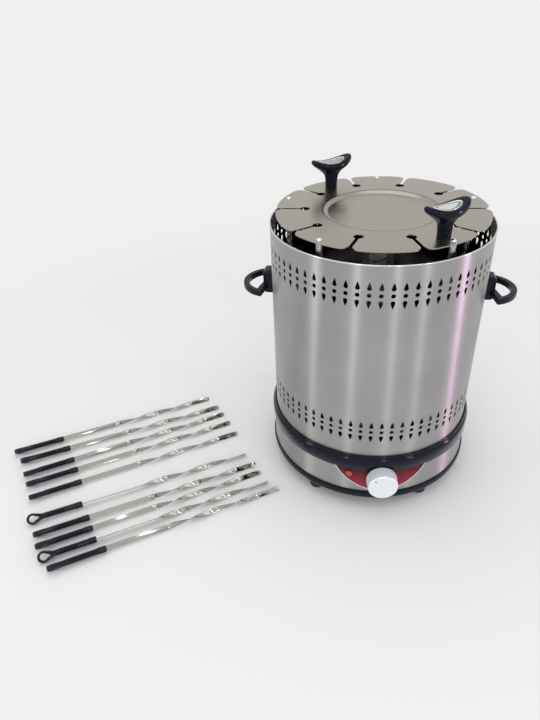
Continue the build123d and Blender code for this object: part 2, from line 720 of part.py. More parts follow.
def make_heater_coil():
    low, high = heater_span()
    low += COIL_END
    turns = int((high - COIL_END - low) / COIL_PITCH)
    radius = CORE_R + COIL_WIRE_R + NEAR / 3
    path = Pos(0, 0, low) * Helix(COIL_PITCH, turns * COIL_PITCH, radius)
    start = Plane(origin=path @ 0, z_dir=path % 0)
    return sweep(start * Circle(COIL_WIRE_R), path=path)


# ------------------------------------------------------------- top plate and knobs

def make_top_plate():
    """Sheet plate with a pressed dish and ten keyholes open to its edge."""
    outline = Circle(PLATE_R)
    for azimuth in spindle_azimuths:
        turn = Rot(0, 0, azimuth - 90)
        slot = Pos(SKEWER_CIRCLE_R + 50, 0) * Rectangle(100, KEYHOLE_SLOT_W)
        outline -= turn * slot
        outline -= turn * Pos(SKEWER_CIRCLE_R, 0) * Circle(KEYHOLE_R)
    edge = sqrt(PLATE_R**2 - (KEYHOLE_SLOT_W / 2) ** 2)
    mouths = outline.vertices().filter_by(
        lambda v: abs(sqrt(v.X**2 + v.Y**2) - PLATE_R) < 0.01 and edge > 0
    )
    outline = fillet(mouths, MOUTH_FILLET)
    plate = Pos(0, 0, PLATE_Z) * extrude(outline, PLATE_T)
    plate -= tube(DISH_R, 0, PLATE_Z - 1, PLATE_TOP + 1)
    plate += spun([
        (0, PLATE_Z - DISH_DEPTH), (DISH_FLOOR_R, PLATE_Z - DISH_DEPTH),
        (DISH_R - 0.5, PLATE_Z), (DISH_R + 0.5, PLATE_Z), (DISH_R + 0.5, PLATE_TOP),
        (DISH_R - 1.0, PLATE_TOP), (DISH_FLOOR_R - 0.5, PLATE_TOP - DISH_DEPTH),
        (0, PLATE_TOP - DISH_DEPTH),
    ])
    for azimuth in post_azimuths:
        place = at(azimuth, POST_CIRCLE_R)
        plate -= place * tube(SCREW_R + SLIP, 0, PLATE_Z - 1, PLATE_TOP + 1)
    for azimuth in knob_azimuths:
        place = at(azimuth, LID_KNOB_R)
        plate -= place * tube(SCREW_R + SLIP, 0, PLATE_Z - 1, PLATE_TOP + 1)
    return plate


def make_plate_screws():
    """Dome screws into the posts, and the two screws that hold the knobs."""
    ball_r = (DOME_R**2 + DOME_H**2) / (2 * DOME_H)
    ball = Pos(0, 0, PLATE_TOP + DOME_H - ball_r) * Sphere(ball_r)
    dome = ball & tube(DOME_R, 0, PLATE_TOP, PLATE_TOP + DOME_H + 1)
    dome += tube(SCREW_R, 0, PLATE_Z - SCREW_L + 1, PLATE_TOP)
    screws = [at(a, POST_CIRCLE_R) * dome for a in post_azimuths]
    pan = tube(DOME_R, 0, PLATE_Z - DOME_H, PLATE_Z)
    pan = fillet(pan.edges().group_by(Axis.Z)[0], 1.2)
    pan += tube(SCREW_R, 0, PLATE_Z, PLATE_TOP + 2 * SCREW_L)
    screws += [at(a, LID_KNOB_R) * pan for a in knob_azimuths]
    return group(screws)


def saddle(length, width, low, high):
    """Oval block between two levels that follows the knob's dished top."""
    bend_r = ((LID_KNOB_L / 2) ** 2 + LID_KNOB_SAG**2) / (2 * LID_KNOB_SAG)
    crown = PLATE_TOP + LID_KNOB_H - LID_KNOB_SAG
    centre = Pos(0, 0, crown + bend_r) * Rot(0, 90, 0)
    depth = 2 * LID_KNOB_W
    outer = centre * Cylinder(bend_r - low, depth)
    inner = centre * Cylinder(bend_r - high, depth)
    oval = Pos(0, 0, PLATE_TOP) * extrude(Ellipse(width / 2, length / 2), 2 * LID_KNOB_H)
    shell = (outer - inner) & oval
    return shell & Pos(0, 0, crown) * Box(200, 200, 2 * (LID_KNOB_T + LID_KNOB_SAG))


def make_lid_knob():
    """Moulded knob: saddle-shaped head on a flared stem, recess for the inlay."""
    head = saddle(LID_KNOB_L, LID_KNOB_W, -LID_KNOB_T, 0)
    head = fillet(head.edges(), 2.6)
    under = PLATE_TOP + LID_KNOB_H - LID_KNOB_SAG - LID_KNOB_T + 3.0
    stem_h = under - PLATE_TOP
    levels = [
        (0.0, LID_STEM_FOOT, LID_STEM_FOOT),
        (0.35, LID_STEM_MID + 0.4, LID_STEM_MID),
        (0.7, LID_STEM_MID + 3.8, LID_STEM_MID + 0.6),
        (1.0, LID_STEM_MID + 11.5, LID_STEM_MID + 3.2),
    ]
    sections = [
        Pos(0, 0, PLATE_TOP + share * stem_h) * Ellipse(across, along)
        for share, along, across in levels
    ]
    stem = loft(sections)
    knob = head + stem
    knob -= saddle(INLAY_L + 2 * SLIP, INLAY_W + 2 * SLIP, -INLAY_T - RUN, 5)
    knob -= tube(SCREW_R + RUN, 0, PLATE_TOP - 1, PLATE_TOP + 2 * SCREW_L + 1)
    return knob


def make_plate_knobs():
    knob = make_lid_knob()
    return group([at(a, LID_KNOB_R) * knob for a in knob_azimuths])


def make_knob_inlays():
    """Curved oval plates let into the tops of the knobs."""
    inlay = saddle(INLAY_L, INLAY_W, -INLAY_T, 0.3)
    return group([at(a, LID_KNOB_R) * inlay for a in knob_azimuths])


# --------------------------------------------------------- timer, panel, indicator

def panel_outline(inset):
    """Crescent in the XZ plane: straight top along the skirt's edge, round below."""
    rise = PANEL_TIP_Z - PANEL_LOW_Z
    radius = (PANEL_TIP_HALF**2 + rise**2) / (2 * rise)
    centre_z = PANEL_LOW_Z + radius
    top = SKIRT_LOW - SLIP
    half = sqrt((radius - inset) ** 2 - (centre_z - top) ** 2)
    return make_face([
        ThreePointArc((-half, 0, top), (0, 0, PANEL_LOW_Z + inset), (half, 0, top)),
        Line((half, 0, top), (-half, 0, top)),
    ])


def wrapped(face, thickness):
    """Press a flat outline round the front of the side band."""
    block = extrude(face, 2 * BAND_R, dir=(0, -1, 0))
    inner = BAND_R + SLIP / 2
    return block & tube(inner + thickness, inner, TRAY_TOP, SKIRT_LOW)


def make_control_panel():
    panel = wrapped(panel_outline(TRIM_W + SLIP), PANEL_T)
    panel -= at(0) * outward(TIMER_BUSH_R + SLIP, BAND_R - 5, BAND_R + 10, TIMER_Z)
    panel -= at(LAMP_AZIMUTH) * outward(LAMP_BODY_R + SLIP, BAND_R - 5, BAND_R + 10, LAMP_Z)
    return panel


def make_panel_trim():
    return wrapped(panel_outline(0) - panel_outline(TRIM_W), TRIM_T)


def make_indicator():
    """Neon lamp with a domed lens, pushed through panel and band."""
    face = BAND_R + SLIP / 2 + PANEL_T + SLIP
    lens_r = LAMP_R - 0.7
    lens_z = face + LAMP_FLANGE_T
    half = asin(lens_r / LAMP_LENS_BALL_R)
    sunk = LAMP_LENS_BALL_R * cos(half)
    middle = (LAMP_LENS_BALL_R * sin(half / 2), lens_z + LAMP_LENS_BALL_R * cos(half / 2) - sunk)
    top = lens_z + LAMP_LENS_BALL_R - sunk
    outline = make_face([
        Polyline([
            (0, 0, top),
            (0, 0, face - LAMP_BODY_L),
            (LAMP_BODY_R, 0, face - LAMP_BODY_L),
            (LAMP_BODY_R, 0, face),
            (LAMP_R, 0, face),
            (LAMP_R, 0, lens_z),
            (lens_r, 0, lens_z),
        ]),
        ThreePointArc((lens_r, 0, lens_z), (middle[0], 0, middle[1]), (0, 0, top)),
    ])
    return at(LAMP_AZIMUTH, 0, LAMP_Z) * Rot(0, 90, 0) * revolve(outline, Axis.Z)


def timer_front():
    """Distance from the axis at which a square case clears the round band."""
    return band_back(TIMER_SIZE / 2) - NEAR


def make_timer_body():
    """Clockwork timer switch with its threaded bush through the panel."""
    front = timer_front()
    case = Pos(front - TIMER_DEPTH / 2, 0, TIMER_Z) * Box(TIMER_DEPTH, TIMER_SIZE, TIMER_SIZE)
    case = fillet(case.edges().filter_by(Axis.X), 3.0)
    bush_end = BAND_R + SLIP / 2 + PANEL_T + 0.6
    case += outward(TIMER_BUSH_R, front, bush_end, TIMER_Z)
    case -= outward(TIMER_SHAFT_R + RUN, front - TIMER_DEPTH + 3, bush_end + 1, TIMER_Z)
    return at(0) * case


def knob_back():
    return SKIRT_R + KNOB_GAP


def make_timer_shaft():
    """Steel shaft with a flat at its outer end."""
    start = timer_front() - TIMER_DEPTH + 3 + NEAR
    end = knob_back() + KNOB_L - KNOB_WALL - 2
    shaft = outward(TIMER_SHAFT_R, start, end, TIMER_Z)
    flat = Pos(end - 5, 0, TIMER_Z + TIMER_SHAFT_R + 0.5) * Box(10, 8, 3)
    return at(0) * (shaft - flat)


def make_timer_knob():
    """Fluted cap with a hub on the shaft, hollow behind."""
    back = knob_back()
    front = back + KNOB_L
    step = 360.0 / KNOB_FLUTES
    flute = Pos(KNOB_R + 0.4 * FLUTE_R, 0) * Circle(FLUTE_R)
    outline = Circle(KNOB_R) - [Rot(0, 0, step * k) * flute for k in range(KNOB_FLUTES)]
    cap = extrude(outline, KNOB_L)
    cap -= tube(KNOB_R - KNOB_WALL, KNOB_HUB_R, -1, KNOB_L - KNOB_WALL)
    knob = Pos(back, 0, TIMER_Z) * Rot(0, 90, 0) * cap
    end = front - KNOB_WALL - 2 + NEAR
    knob -= outward(TIMER_SHAFT_R + RUN, back - 1, end, TIMER_Z)
    key = Pos(end - 5, 0, TIMER_Z + TIMER_SHAFT_R + 0.7) * Box(10 - NEAR, 5, 3)
    knob += key & outward(TIMER_SHAFT_R + RUN, end - 10 + NEAR, end, TIMER_Z)
    return at(0) * knob


# ------------------------------------------------------------------------ skewers

def skewer_place(x, y, heading, roll):
    """Skewer frame: X runs from the eye to the tip, resting on eye and tip."""
    turn = radians(roll)
    end_height = EYE_W / 2 * abs(cos(turn)) + EYE_T / 2 * abs(sin(turn)) + NEAR / 2
    tilt = degrees(asin((end_height - TIP_AXIS_HEIGHT) / SKEWER_L))
    lifted = Pos(x, y, end_height)
    return lifted * Rot(0, 0, heading) * Rot(0, tilt, 0) * Rot(roll, 0, 0)


def make_blade():
    """Flat strip twisted through half turns, with a rounded point."""
    start = HANDLE_L - BLADE_TANG
    twist_start = HANDLE_L + BLADE_PLAIN_L
    twist_end = twist_start + BLADE_TWIST_L
    section = Plane(origin=(twist_start, 0, 0), x_dir=(0, 1, 0), z_dir=(1, 0, 0))
    strip = section * Rectangle(BLADE_W, BLADE_T)
    twist = Solid.extrude_linear_with_rotation(
        strip.face(), (twist_start, 0, 0), (BLADE_TWIST_L, 0, 0), 180.0 * BLADE_HALF_TURNS
    )
    plain = Pos((start + twist_start) / 2, 0, 0) * Box(twist_start - start, BLADE_W, BLADE_T)
    point_l = SKEWER_L - twist_end
    point = Pos(twist_end + point_l / 2, 0, 0) * Box(point_l, BLADE_W, BLADE_T)
    ends = point.edges().filter_by(Axis.Z).group_by(Axis.X)[-1]
    point = fillet(ends, 0.48 * BLADE_W)
    return plain + twist + point


def eye_outline(length, width, inset):
    """Teardrop whose round end is at x = inset, drawn in the XZ plane."""
    radius = width / 2
    tip = inset + length
    centre = inset + radius
    lean = asin(radius / (tip - centre))
    touch = (centre + radius * sin(lean), radius * cos(lean))
    return make_face([
        Line((tip, 0, 0), (touch[0], 0, touch[1])),
        ThreePointArc((touch[0], 0, touch[1]), (inset, 0, 0), (touch[0], 0, -touch[1])),
        Line((touch[0], 0, -touch[1]), (tip, 0, 0)),
    ])


def make_handle():
    """Moulded grip with fine ribs, a neck and an eye to hang it by."""
    ribs_end = HANDLE_L - GRIP_END_L
    ribs_start = ribs_end - RIB_COUNT * RIB_PITCH
    neck = GRIP_R - 0.9
    profile = [(EYE_L - 4, 0), (EYE_L - 4, 0.7 * neck), (EYE_L + 3, neck), (ribs_start, GRIP_R)]
    for k in range(RIB_COUNT):
        x = ribs_start + (k + 0.5) * RIB_PITCH
        quarter = RIB_PITCH / 4
        profile += [(x - quarter, GRIP_R), (x, GRIP_R - RIB_DEPTH), (x + quarter, GRIP_R)]
    profile += [(HANDLE_L - 1, GRIP_R), (HANDLE_L, GRIP_R - 1), (HANDLE_L, 0)]
    grip = revolve(make_face(Polyline([(x, 0, r) for x, r in profile], close=True)), Axis.X)
    wall = (EYE_W - EYE_HOLE_W) / 2
    eye = extrude(eye_outline(EYE_L + 12, EYE_W, 0), EYE_T / 2, both=True)
    eye = fillet(eye.edges().filter_by(lambda e: abs(e.center().Y) > 1), 1.4)
    eye -= extrude(eye_outline(EYE_HOLE_L, EYE_HOLE_W, wall), EYE_T, both=True)
    handle = grip + eye
    tang = Pos(HANDLE_L - BLADE_TANG / 2, 0, 0) * Box(
        BLADE_TANG + 2 * RUN, BLADE_W + 2 * RUN, BLADE_T + 2 * RUN
    )
    return handle - tang


# -------------------------------------------------------------------- all the nodes

nodes = {
    "casing_wall": make_casing(),
    "side_handles": group([at(a) * make_side_handle() for a in handle_azimuths]),
    "side_handle_screws": make_handle_screws(),
    "bottom_tray": make_bottom_tray(),
    "feet": make_feet(),
    "side_band": make_side_band(),
    "ring_cover": make_ring_cover(),
    "deck_plate": make_deck(),
    "gear_plate": make_gear_plate(),
    "support_posts": make_posts(),
    "drive_motor": make_motor(),
    "terminal_block": make_terminal_block(),
    "cord_gland": make_cord_gland(),
    "sun_gear": make_sun_gear(),
    "motor_pinion": make_pinion(),
    "drip_cups": make_drip_cups(),
    "heater_caps": make_heater_caps(),
    "heater_tube": make_heater_tube(),
    "heater_core": make_heater_core(),
    "heater_coil": make_heater_coil(),
    "top_plate": make_top_plate(),
    "plate_screws": make_plate_screws(),
    "plate_knobs": make_plate_knobs(),
    "knob_inlays": make_knob_inlays(),
    "control_panel": make_control_panel(),
    "panel_trim": make_panel_trim(),
    "indicator_lens": make_indicator(),
    "timer_body": make_timer_body(),
    "timer_shaft": make_timer_shaft(),
    "timer_knob": make_timer_knob(),
}
for i, azimuth in enumerate(spindle_azimuths):
    nodes[f"spindle_{i + 1:02d}"] = make_spindle(azimuth)
blade = make_blade()
handle = make_handle()
for i, place in enumerate(SKEWER_PLACES):
    nodes[f"skewer_blade_{i + 1:02d}"] = skewer_place(*place) * blade
    nodes[f"skewer_handle_{i + 1:02d}"] = skewer_place(*place) * handle

for name, piece in nodes.items():
    export_step(piece, f"parts/{name}.step")
print(len(nodes), "nodes")
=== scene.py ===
import math

import bpy
from mathutils import Matrix, Vector


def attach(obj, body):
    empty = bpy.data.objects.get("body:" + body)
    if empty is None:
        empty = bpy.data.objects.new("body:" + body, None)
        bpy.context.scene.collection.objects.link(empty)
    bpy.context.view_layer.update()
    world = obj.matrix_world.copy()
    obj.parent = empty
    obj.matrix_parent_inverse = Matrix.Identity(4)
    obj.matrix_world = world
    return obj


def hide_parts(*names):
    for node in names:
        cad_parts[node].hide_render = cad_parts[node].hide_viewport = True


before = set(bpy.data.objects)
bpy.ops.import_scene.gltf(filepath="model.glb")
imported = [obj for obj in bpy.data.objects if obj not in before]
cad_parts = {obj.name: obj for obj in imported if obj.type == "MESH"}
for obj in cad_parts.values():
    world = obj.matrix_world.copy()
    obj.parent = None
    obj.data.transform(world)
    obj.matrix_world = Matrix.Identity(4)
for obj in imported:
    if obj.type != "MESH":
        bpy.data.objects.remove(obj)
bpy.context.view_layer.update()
MM = 0.001


# ---------------------------------------------------------------- camera
# The view of the photograph: 34.3 degrees down from the front, a little to the left of the
# grill's own front, with a slight roll. Lengths are worked out in casing radii.

CASING_R = 165 * MM
VIEW_TURN = math.radians(2.1)
VIEW_DOWN = math.radians(34.30)
VIEW_ROLL = math.radians(-2.817)
VIEW_FOCAL_PX = 578.85
VIEW_HEIGHT_PX = 720
SENSOR_MM = 24
VIEW_PLACE = Vector((-1.0577, -5.0019, 3.8722)) * CASING_R
VIEW_BASE = 118 * MM

camera_data = bpy.data.cameras.new("view_camera")
camera_data.sensor_fit = "VERTICAL"
camera_data.sensor_height = SENSOR_MM
camera_data.lens = SENSOR_MM * VIEW_FOCAL_PX / VIEW_HEIGHT_PX
camera_data.clip_start = 0.01
camera = bpy.data.objects.new("view_camera", camera_data)
bpy.context.scene.collection.objects.link(camera)
level_right = Vector((1, 0, 0))
ahead = Vector((0, math.cos(VIEW_DOWN), -math.sin(VIEW_DOWN)))
level_up = level_right.cross(ahead)
right = level_right * math.cos(VIEW_ROLL) + level_up * math.sin(VIEW_ROLL)
up = level_up * math.cos(VIEW_ROLL) - level_right * math.sin(VIEW_ROLL)
turned = Matrix((right, up, -ahead)).transposed().to_4x4()
standing = Matrix.Rotation(VIEW_TURN, 4, "Z")
camera.matrix_world = (
    Matrix.Translation((0, 0, VIEW_BASE)) @ standing @ Matrix.Translation(VIEW_PLACE) @ turned
)
bpy.context.scene.camera = camera
bpy.context.scene.view_settings.view_transform = "Standard"


# ---------------------------------------------------------------- floor and light
# A wide pale floor under an even sky, with soft lamps above and narrow upright lamps around.
# Far from the grill the floor glows by itself, so that it stays one even tone to the horizon.

PALE = (0.86, 0.86, 0.86, 1)
FLOOR_WIDTH = 160
FLOOR_DROP = 0.6 * MM
FLOOR_LIT_R = 0.78    # metres from the grill up to which only the lamps light the floor
FLOOR_EVEN_R = 1.3    # and from which on it glows


def plain_nodes(name):
    """A new node material, its Principled shader and its node tree."""
    material = bpy.data.materials.new(name)
    material.use_nodes = True
    tree = material.node_tree
    return material, tree.nodes["Principled BSDF"], tree


def seen_ray(tree):
    """1 for rays that see the surroundings: from the camera, off a bright surface or through glass."""
    ray = tree.nodes.new("ShaderNodeLightPath")
    seen = ray.outputs["Is Camera Ray"]
    for other in ("Is Glossy Ray", "Is Transmission Ray"):
        larger = tree.nodes.new("ShaderNodeMath")
        larger.operation = "MAXIMUM"
        tree.links.new(seen, larger.inputs[0])
        tree.links.new(ray.outputs[other], larger.inputs[1])
        seen = larger.outputs[0]
    return seen


bpy.ops.object.select_all(action="DESELECT")
bpy.ops.mesh.primitive_plane_add(size=FLOOR_WIDTH, location=(0, 0, -FLOOR_DROP))
floor = bpy.context.object
floor.name = "studio_floor"
floor_paint, shader, tree = plain_nodes("floor_paint")
shader.inputs["Base Color"].default_value = (0.82, 0.82, 0.82, 1)
shader.inputs["Roughness"].default_value = 0.9
shader.inputs["Specular IOR Level"].default_value = 0.0
place = tree.nodes.new("ShaderNodeTexCoord")
reach = tree.nodes.new("ShaderNodeVectorMath")
reach.operation = "LENGTH"
tree.links.new(place.outputs["Object"], reach.inputs[0])
fade = tree.nodes.new("ShaderNodeMapRange")
fade.interpolation_type = "SMOOTHSTEP"
fade.inputs["From Min"].default_value = FLOOR_LIT_R
fade.inputs["From Max"].default_value = FLOOR_EVEN_R
tree.links.new(reach.outputs["Value"], fade.inputs["Value"])
share = tree.nodes.new("ShaderNodeMath")
share.operation = "MULTIPLY"
tree.links.new(fade.outputs["Result"], share.inputs[0])
tree.links.new(seen_ray(tree), share.inputs[1])
even = tree.nodes.new("ShaderNodeEmission")
even.inputs["Color"].default_value = PALE
either = tree.nodes.new("ShaderNodeMixShader")
tree.links.new(share.outputs[0], either.inputs[0])
tree.links.new(shader.outputs[0], either.inputs[1])
tree.links.new(even.outputs[0], either.inputs[2])
tree.links.new(either.outputs[0], tree.nodes["Material Output"].inputs["Surface"])
floor.data.materials.append(floor_paint)

sky = bpy.data.worlds.new("studio_sky")
sky.use_nodes = True
bpy.context.scene.world = sky
tree = sky.node_tree
sky_glow = tree.nodes["Background"]
sky_glow.inputs["Color"].default_value = (1, 1, 1, 1)
sky_glow.inputs["Strength"].default_value = 0.80
seen_glow = tree.nodes.new("ShaderNodeBackground")
seen_glow.inputs["Color"].default_value = PALE
either = tree.nodes.new("ShaderNodeMixShader")
tree.links.new(seen_ray(tree), either.inputs[0])
tree.links.new(sky_glow.outputs[0], either.inputs[1])
tree.links.new(seen_glow.outputs[0], either.inputs[2])
tree.links.new(either.outputs[0], tree.nodes["World Output"].inputs["Surface"])


def soft_lamp(name, place, aim, size, watts, tint):
    """A rectangular lamp that faces a point."""
    data = bpy.data.lights.new(name, "AREA")
    data.shape = "RECTANGLE"
    data.size, data.size_y = size
    data.energy = watts
    data.color = tint
    lamp = bpy.data.objects.new(name, data)
    bpy.context.scene.collection.objects.link(lamp)
    way = Vector(aim) - Vector(place)
    lamp.matrix_world = Matrix.Translation(place) @ way.to_track_quat("-Z", "Y").to_matrix().to_4x4()


soft_lamp("lamp_above", (-0.4, 0.6, 3.4), (0, 0, 0.2), (2.6, 2.6), 15, (1, 0.99, 0.98))
soft_lamp("lamp_strip", (0, -1.3, 2.5), (0, -0.2, 0.2), (2.6, 0.10), 8, (0.93, 0.96, 1))
soft_lamp("lamp_left", (-2.6, -1.0, 0.9), (0, 0, 0.25), (0.30, 1.5), 7, (1, 0.99, 0.98))
soft_lamp("lamp_front_left", (-1.5, -2.9, 1.0), (0, 0, 0.25), (0.16, 1.6), 7, (0.95, 0.97, 1))
soft_lamp("lamp_front", (0.55, -3.1, 1.0), (0, 0, 0.25), (0.10, 1.6), 6, (0.93, 0.96, 1))
soft_lamp("lamp_front_right", (1.9, -2.5, 1.0), (0, 0, 0.25), (0.20, 1.6), 6, (0.96, 0.97, 1))
soft_lamp("lamp_right", (3.1, -0.6, 0.8), (0, 0, 0.25), (0.20, 1.5), 16, (1, 0.62, 0.92))


# ---------------------------------------------------------------- casing wall
# A sleeve of thin stainless sheet, punched in two bands before it was rolled and seam-welded.
# Each column of a band is a dot between two teardrops, point outwards. Its grain runs round it.

CASING_LOW = 113.5 * MM
CASING_RIM = 440 * MM
LOW_BAND = 48.5 * MM
TOP_BAND = 44 * MM
CASING_WALL_T = 0.8 * MM
BEAD_R = 1.3 * MM
COLUMNS = 66
COLUMN_PHASE = math.radians(-1.6)
DOT_R = 3.2 * MM
DROP_HALF = 3.25 * MM
DROP_ROOT = 7.1 * MM
DROP_TIP = 19.6 * MM
BAND_HALF = 24 * MM
DROP_SQUASH = 0.92    # how flat the drop's root is
DROP_TAPER = 1.35     # how its flanks curve towards the point
MID_HEIGHT = 250 * MM  # between the two bands


def dot_ring():
    """The round hole between two teardrops."""
    return [(DOT_R * math.cos(k * math.pi / 6), DOT_R * math.sin(k * math.pi / 6)) for k in range(12)]


def drop_ring(way):
    """Teardrop with a round root next to the dot and a point away from it."""
    root = DROP_SQUASH * DROP_HALF
    middle = DROP_ROOT + root
    turns = [math.pi + k * math.pi / 6 for k in range(7)]
    ring = [(DROP_HALF * math.cos(a), middle + root * math.sin(a)) for a in turns]
    flank = [(DROP_HALF * (1 - t ** DROP_TAPER), middle + t * (DROP_TIP - middle)) for t in (0.3, 0.6, 0.85)]
    ring += flank + [(0, DROP_TIP)] + [(-x, y) for x, y in reversed(flank)]
    return [(x, way * y) for x, y in ring]


def edge_loop(mesh_points, mesh_edges, ring):
    """Add a closed ring of points and edges to those of a mesh."""
    first = len(mesh_points)
    mesh_points.extend(ring)
    mesh_edges.extend((first + k, first + (k + 1) % len(ring)) for k in range(len(ring)))


def empty_mesh_object(name):
    """A new object with an empty mesh, selected alone."""
    mesh = bpy.data.meshes.new(name)
    piece = bpy.data.objects.new(name, mesh)
    bpy.context.scene.collection.objects.link(piece)
    bpy.ops.object.select_all(action="DESELECT")
    piece.select_set(True)
    bpy.context.view_layer.objects.active = piece
    return piece, mesh


casing, casing_mesh = empty_mesh_object("casing_sleeve")
half_pitch = math.pi * CASING_R / COLUMNS
band_points, band_edges = [], []
for middle in (CASING_LOW + LOW_BAND, CASING_RIM - TOP_BAND):
    corners = [
        (-half_pitch, middle - BAND_HALF), (0, middle - BAND_HALF), (half_pitch, middle - BAND_HALF),
        (half_pitch, middle + BAND_HALF), (0, middle + BAND_HALF), (-half_pitch, middle + BAND_HALF),
    ]
    edge_loop(band_points, band_edges, corners)
    for ring in (dot_ring(), drop_ring(1), drop_ring(-1)):
        edge_loop(band_points, band_edges, [(x, middle + y) for x, y in ring])
casing_mesh.from_pydata([(x, 0, z) for x, z in band_points], band_edges, [])
bpy.ops.object.mode_set(mode="EDIT")
for low in (True, False):
    bpy.ops.mesh.select_all(action="DESELECT")
    bpy.ops.object.mode_set(mode="OBJECT")
    for vertex in casing_mesh.vertices:
        vertex.select = (vertex.co.z < MID_HEIGHT) == low
    bpy.ops.object.mode_set(mode="EDIT")
    bpy.ops.mesh.select_mode(type="VERT")
    bpy.ops.mesh.fill(use_beauty=True)
bpy.ops.object.mode_set(mode="OBJECT")

tile = [(v.co.x, v.co.z) for v in casing_mesh.vertices]
tile_faces = [tuple(p.vertices) for p in casing_mesh.polygons]
plain_rows = [
    (CASING_LOW, CASING_LOW + LOW_BAND - BAND_HALF),
    (CASING_LOW + LOW_BAND + BAND_HALF, CASING_RIM - TOP_BAND - BAND_HALF),
    (CASING_RIM - TOP_BAND + BAND_HALF, CASING_RIM - 1 * MM),
]
for low, high in plain_rows:
    for x0, x1 in ((-half_pitch, 0), (0, half_pitch)):
        first = len(tile)
        tile += [(x0, low), (x1, low), (x1, high), (x0, high)]
        tile_faces.append((first, first + 1, first + 2, first + 3))
shell_points, shell_faces = [], []
for k in range(COLUMNS):
    first = len(shell_points)
    for x, z in tile:
        a = COLUMN_PHASE + 2 * math.pi * k / COLUMNS + x / CASING_R
        shell_points.append((CASING_R * math.sin(a), -CASING_R * math.cos(a), z))
    shell_faces += [tuple(first + i for i in face) for face in tile_faces]
casing_mesh.clear_geometry()
casing_mesh.from_pydata(shell_points, [], shell_faces)
bpy.ops.object.mode_set(mode="EDIT")
bpy.ops.mesh.select_all(action="SELECT")
bpy.ops.mesh.remove_doubles(threshold=0.00002)
bpy.ops.mesh.normals_make_consistent(inside=False)
bpy.ops.object.mode_set(mode="OBJECT")
first_face = casing_mesh.polygons[0]
if first_face.normal.dot(first_face.center * Vector((1, 1, 0))) < 0:
    casing_mesh.flip_normals()
thicken = casing.modifiers.new("sheet", "SOLIDIFY")
thicken.thickness = CASING_WALL_T
thicken.offset = -1
bpy.ops.object.modifier_apply(modifier="sheet")


def round_normals(mesh):
    """Let the rolled faces shade as a true cylinder and keep the punched edges crisp."""
    mesh.shade_smooth()
    normals = [None] * len(mesh.loops)
    for polygon in mesh.polygons:
        flat = Vector((polygon.center.x, polygon.center.y, 0)).normalized()
        side = polygon.normal.dot(flat)
        for loop in polygon.loop_indices:
            place = mesh.vertices[mesh.loops[loop].vertex_index].co
            out = Vector((place.x, place.y, 0)).normalized()
            punched_edge = abs(side) < 0.9
            normals[loop] = polygon.normal.copy() if punched_edge else out * math.copysign(1, side)
    mesh.normals_split_custom_set(normals)


round_normals(casing_mesh)


def grained_steel(name, tint, rough, rolled=False, spots=0.02, metallic=1.0):
    """Bright metal with faint clouding. A rolled one has a fine level grain that smears reflections."""
    material, shader, tree = plain_nodes(name)
    shader.inputs["Metallic"].default_value = metallic
    shader.inputs["Anisotropic"].default_value = 0.75 if rolled else 0.0
    place = tree.nodes.new("ShaderNodeTexCoord")
    stretch = tree.nodes.new("ShaderNodeMapping")
    stretch.inputs["Scale"].default_value = (9, 9, 900) if rolled else (60, 60, 60)
    grain = tree.nodes.new("ShaderNodeTexNoise")
    grain.inputs["Scale"].default_value = 1.0
    grain.inputs["Detail"].default_value = 4.0
    tree.links.new(place.outputs["Object"], stretch.inputs["Vector"])
    tree.links.new(stretch.outputs["Vector"], grain.inputs["Vector"])
    cloud = tree.nodes.new("ShaderNodeTexNoise")
    cloud.inputs["Scale"].default_value = 14.0
    cloud.inputs["Detail"].default_value = 3.0
    tree.links.new(place.outputs["Object"], cloud.inputs["Vector"])
    rough_from = tree.nodes.new("ShaderNodeMapRange")
    rough_from.inputs["To Min"].default_value = rough * 0.8
    rough_from.inputs["To Max"].default_value = rough * 1.25
    tree.links.new(grain.outputs["Fac"], rough_from.inputs["Value"])
    tree.links.new(rough_from.outputs["Result"], shader.inputs["Roughness"])
    tone = tree.nodes.new("ShaderNodeValToRGB")
    dark = tuple(c * (1 - 3 * spots) for c in tint) + (1,)
    tone.color_ramp.elements[0].position = 0.3
    tone.color_ramp.elements[0].color = dark
    tone.color_ramp.elements[1].position = 0.7
    tone.color_ramp.elements[1].color = tuple(tint) + (1,)
    tree.links.new(cloud.outputs["Fac"], tone.inputs["Fac"])
    tree.links.new(tone.outputs["Color"], shader.inputs["Base Color"])
    bump = tree.nodes.new("ShaderNodeBump")
    bump.inputs["Strength"].default_value = 0.05 if rolled else 0.012
    bump.inputs["Distance"].default_value = 0.0002
    tree.links.new(grain.outputs["Fac"], bump.inputs["Height"])
    tree.links.new(bump.outputs["Normal"], shader.inputs["Normal"])
    return material


rolled_steel = grained_steel("rolled_steel", (0.43, 0.425, 0.42), 0.36, True, 0.03)
tree = rolled_steel.node_tree
shader = tree.nodes["Principled BSDF"]
shader.inputs["Anisotropic"].default_value = 1.0
shader.inputs["Anisotropic Rotation"].default_value = 0.25
round_way = tree.nodes.new("ShaderNodeTangent")
round_way.direction_type = "RADIAL"
round_way.axis = "Z"
tree.links.new(round_way.outputs["Tangent"], shader.inputs["Tangent"])
casing_mesh.materials.clear()
casing_mesh.materials.append(rolled_steel)
# Painted shade: the sleeve's inner side gets a dark steel colour that stands in for the shade inside it.
sleeve_inside_painted_shade = grained_steel("sleeve_inside_painted_shade", (0.13, 0.12, 0.115), 0.16, spots=0.06)
casing_mesh.materials.append(sleeve_inside_painted_shade)
# the faces that look inwards take this painted shade
for polygon in casing_mesh.polygons:
    outward = Vector((polygon.center.x, polygon.center.y, 0)).normalized()
    if polygon.normal.dot(outward) < -0.5:
        polygon.material_index = 1
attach(casing, "casing")
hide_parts("casing_wall")

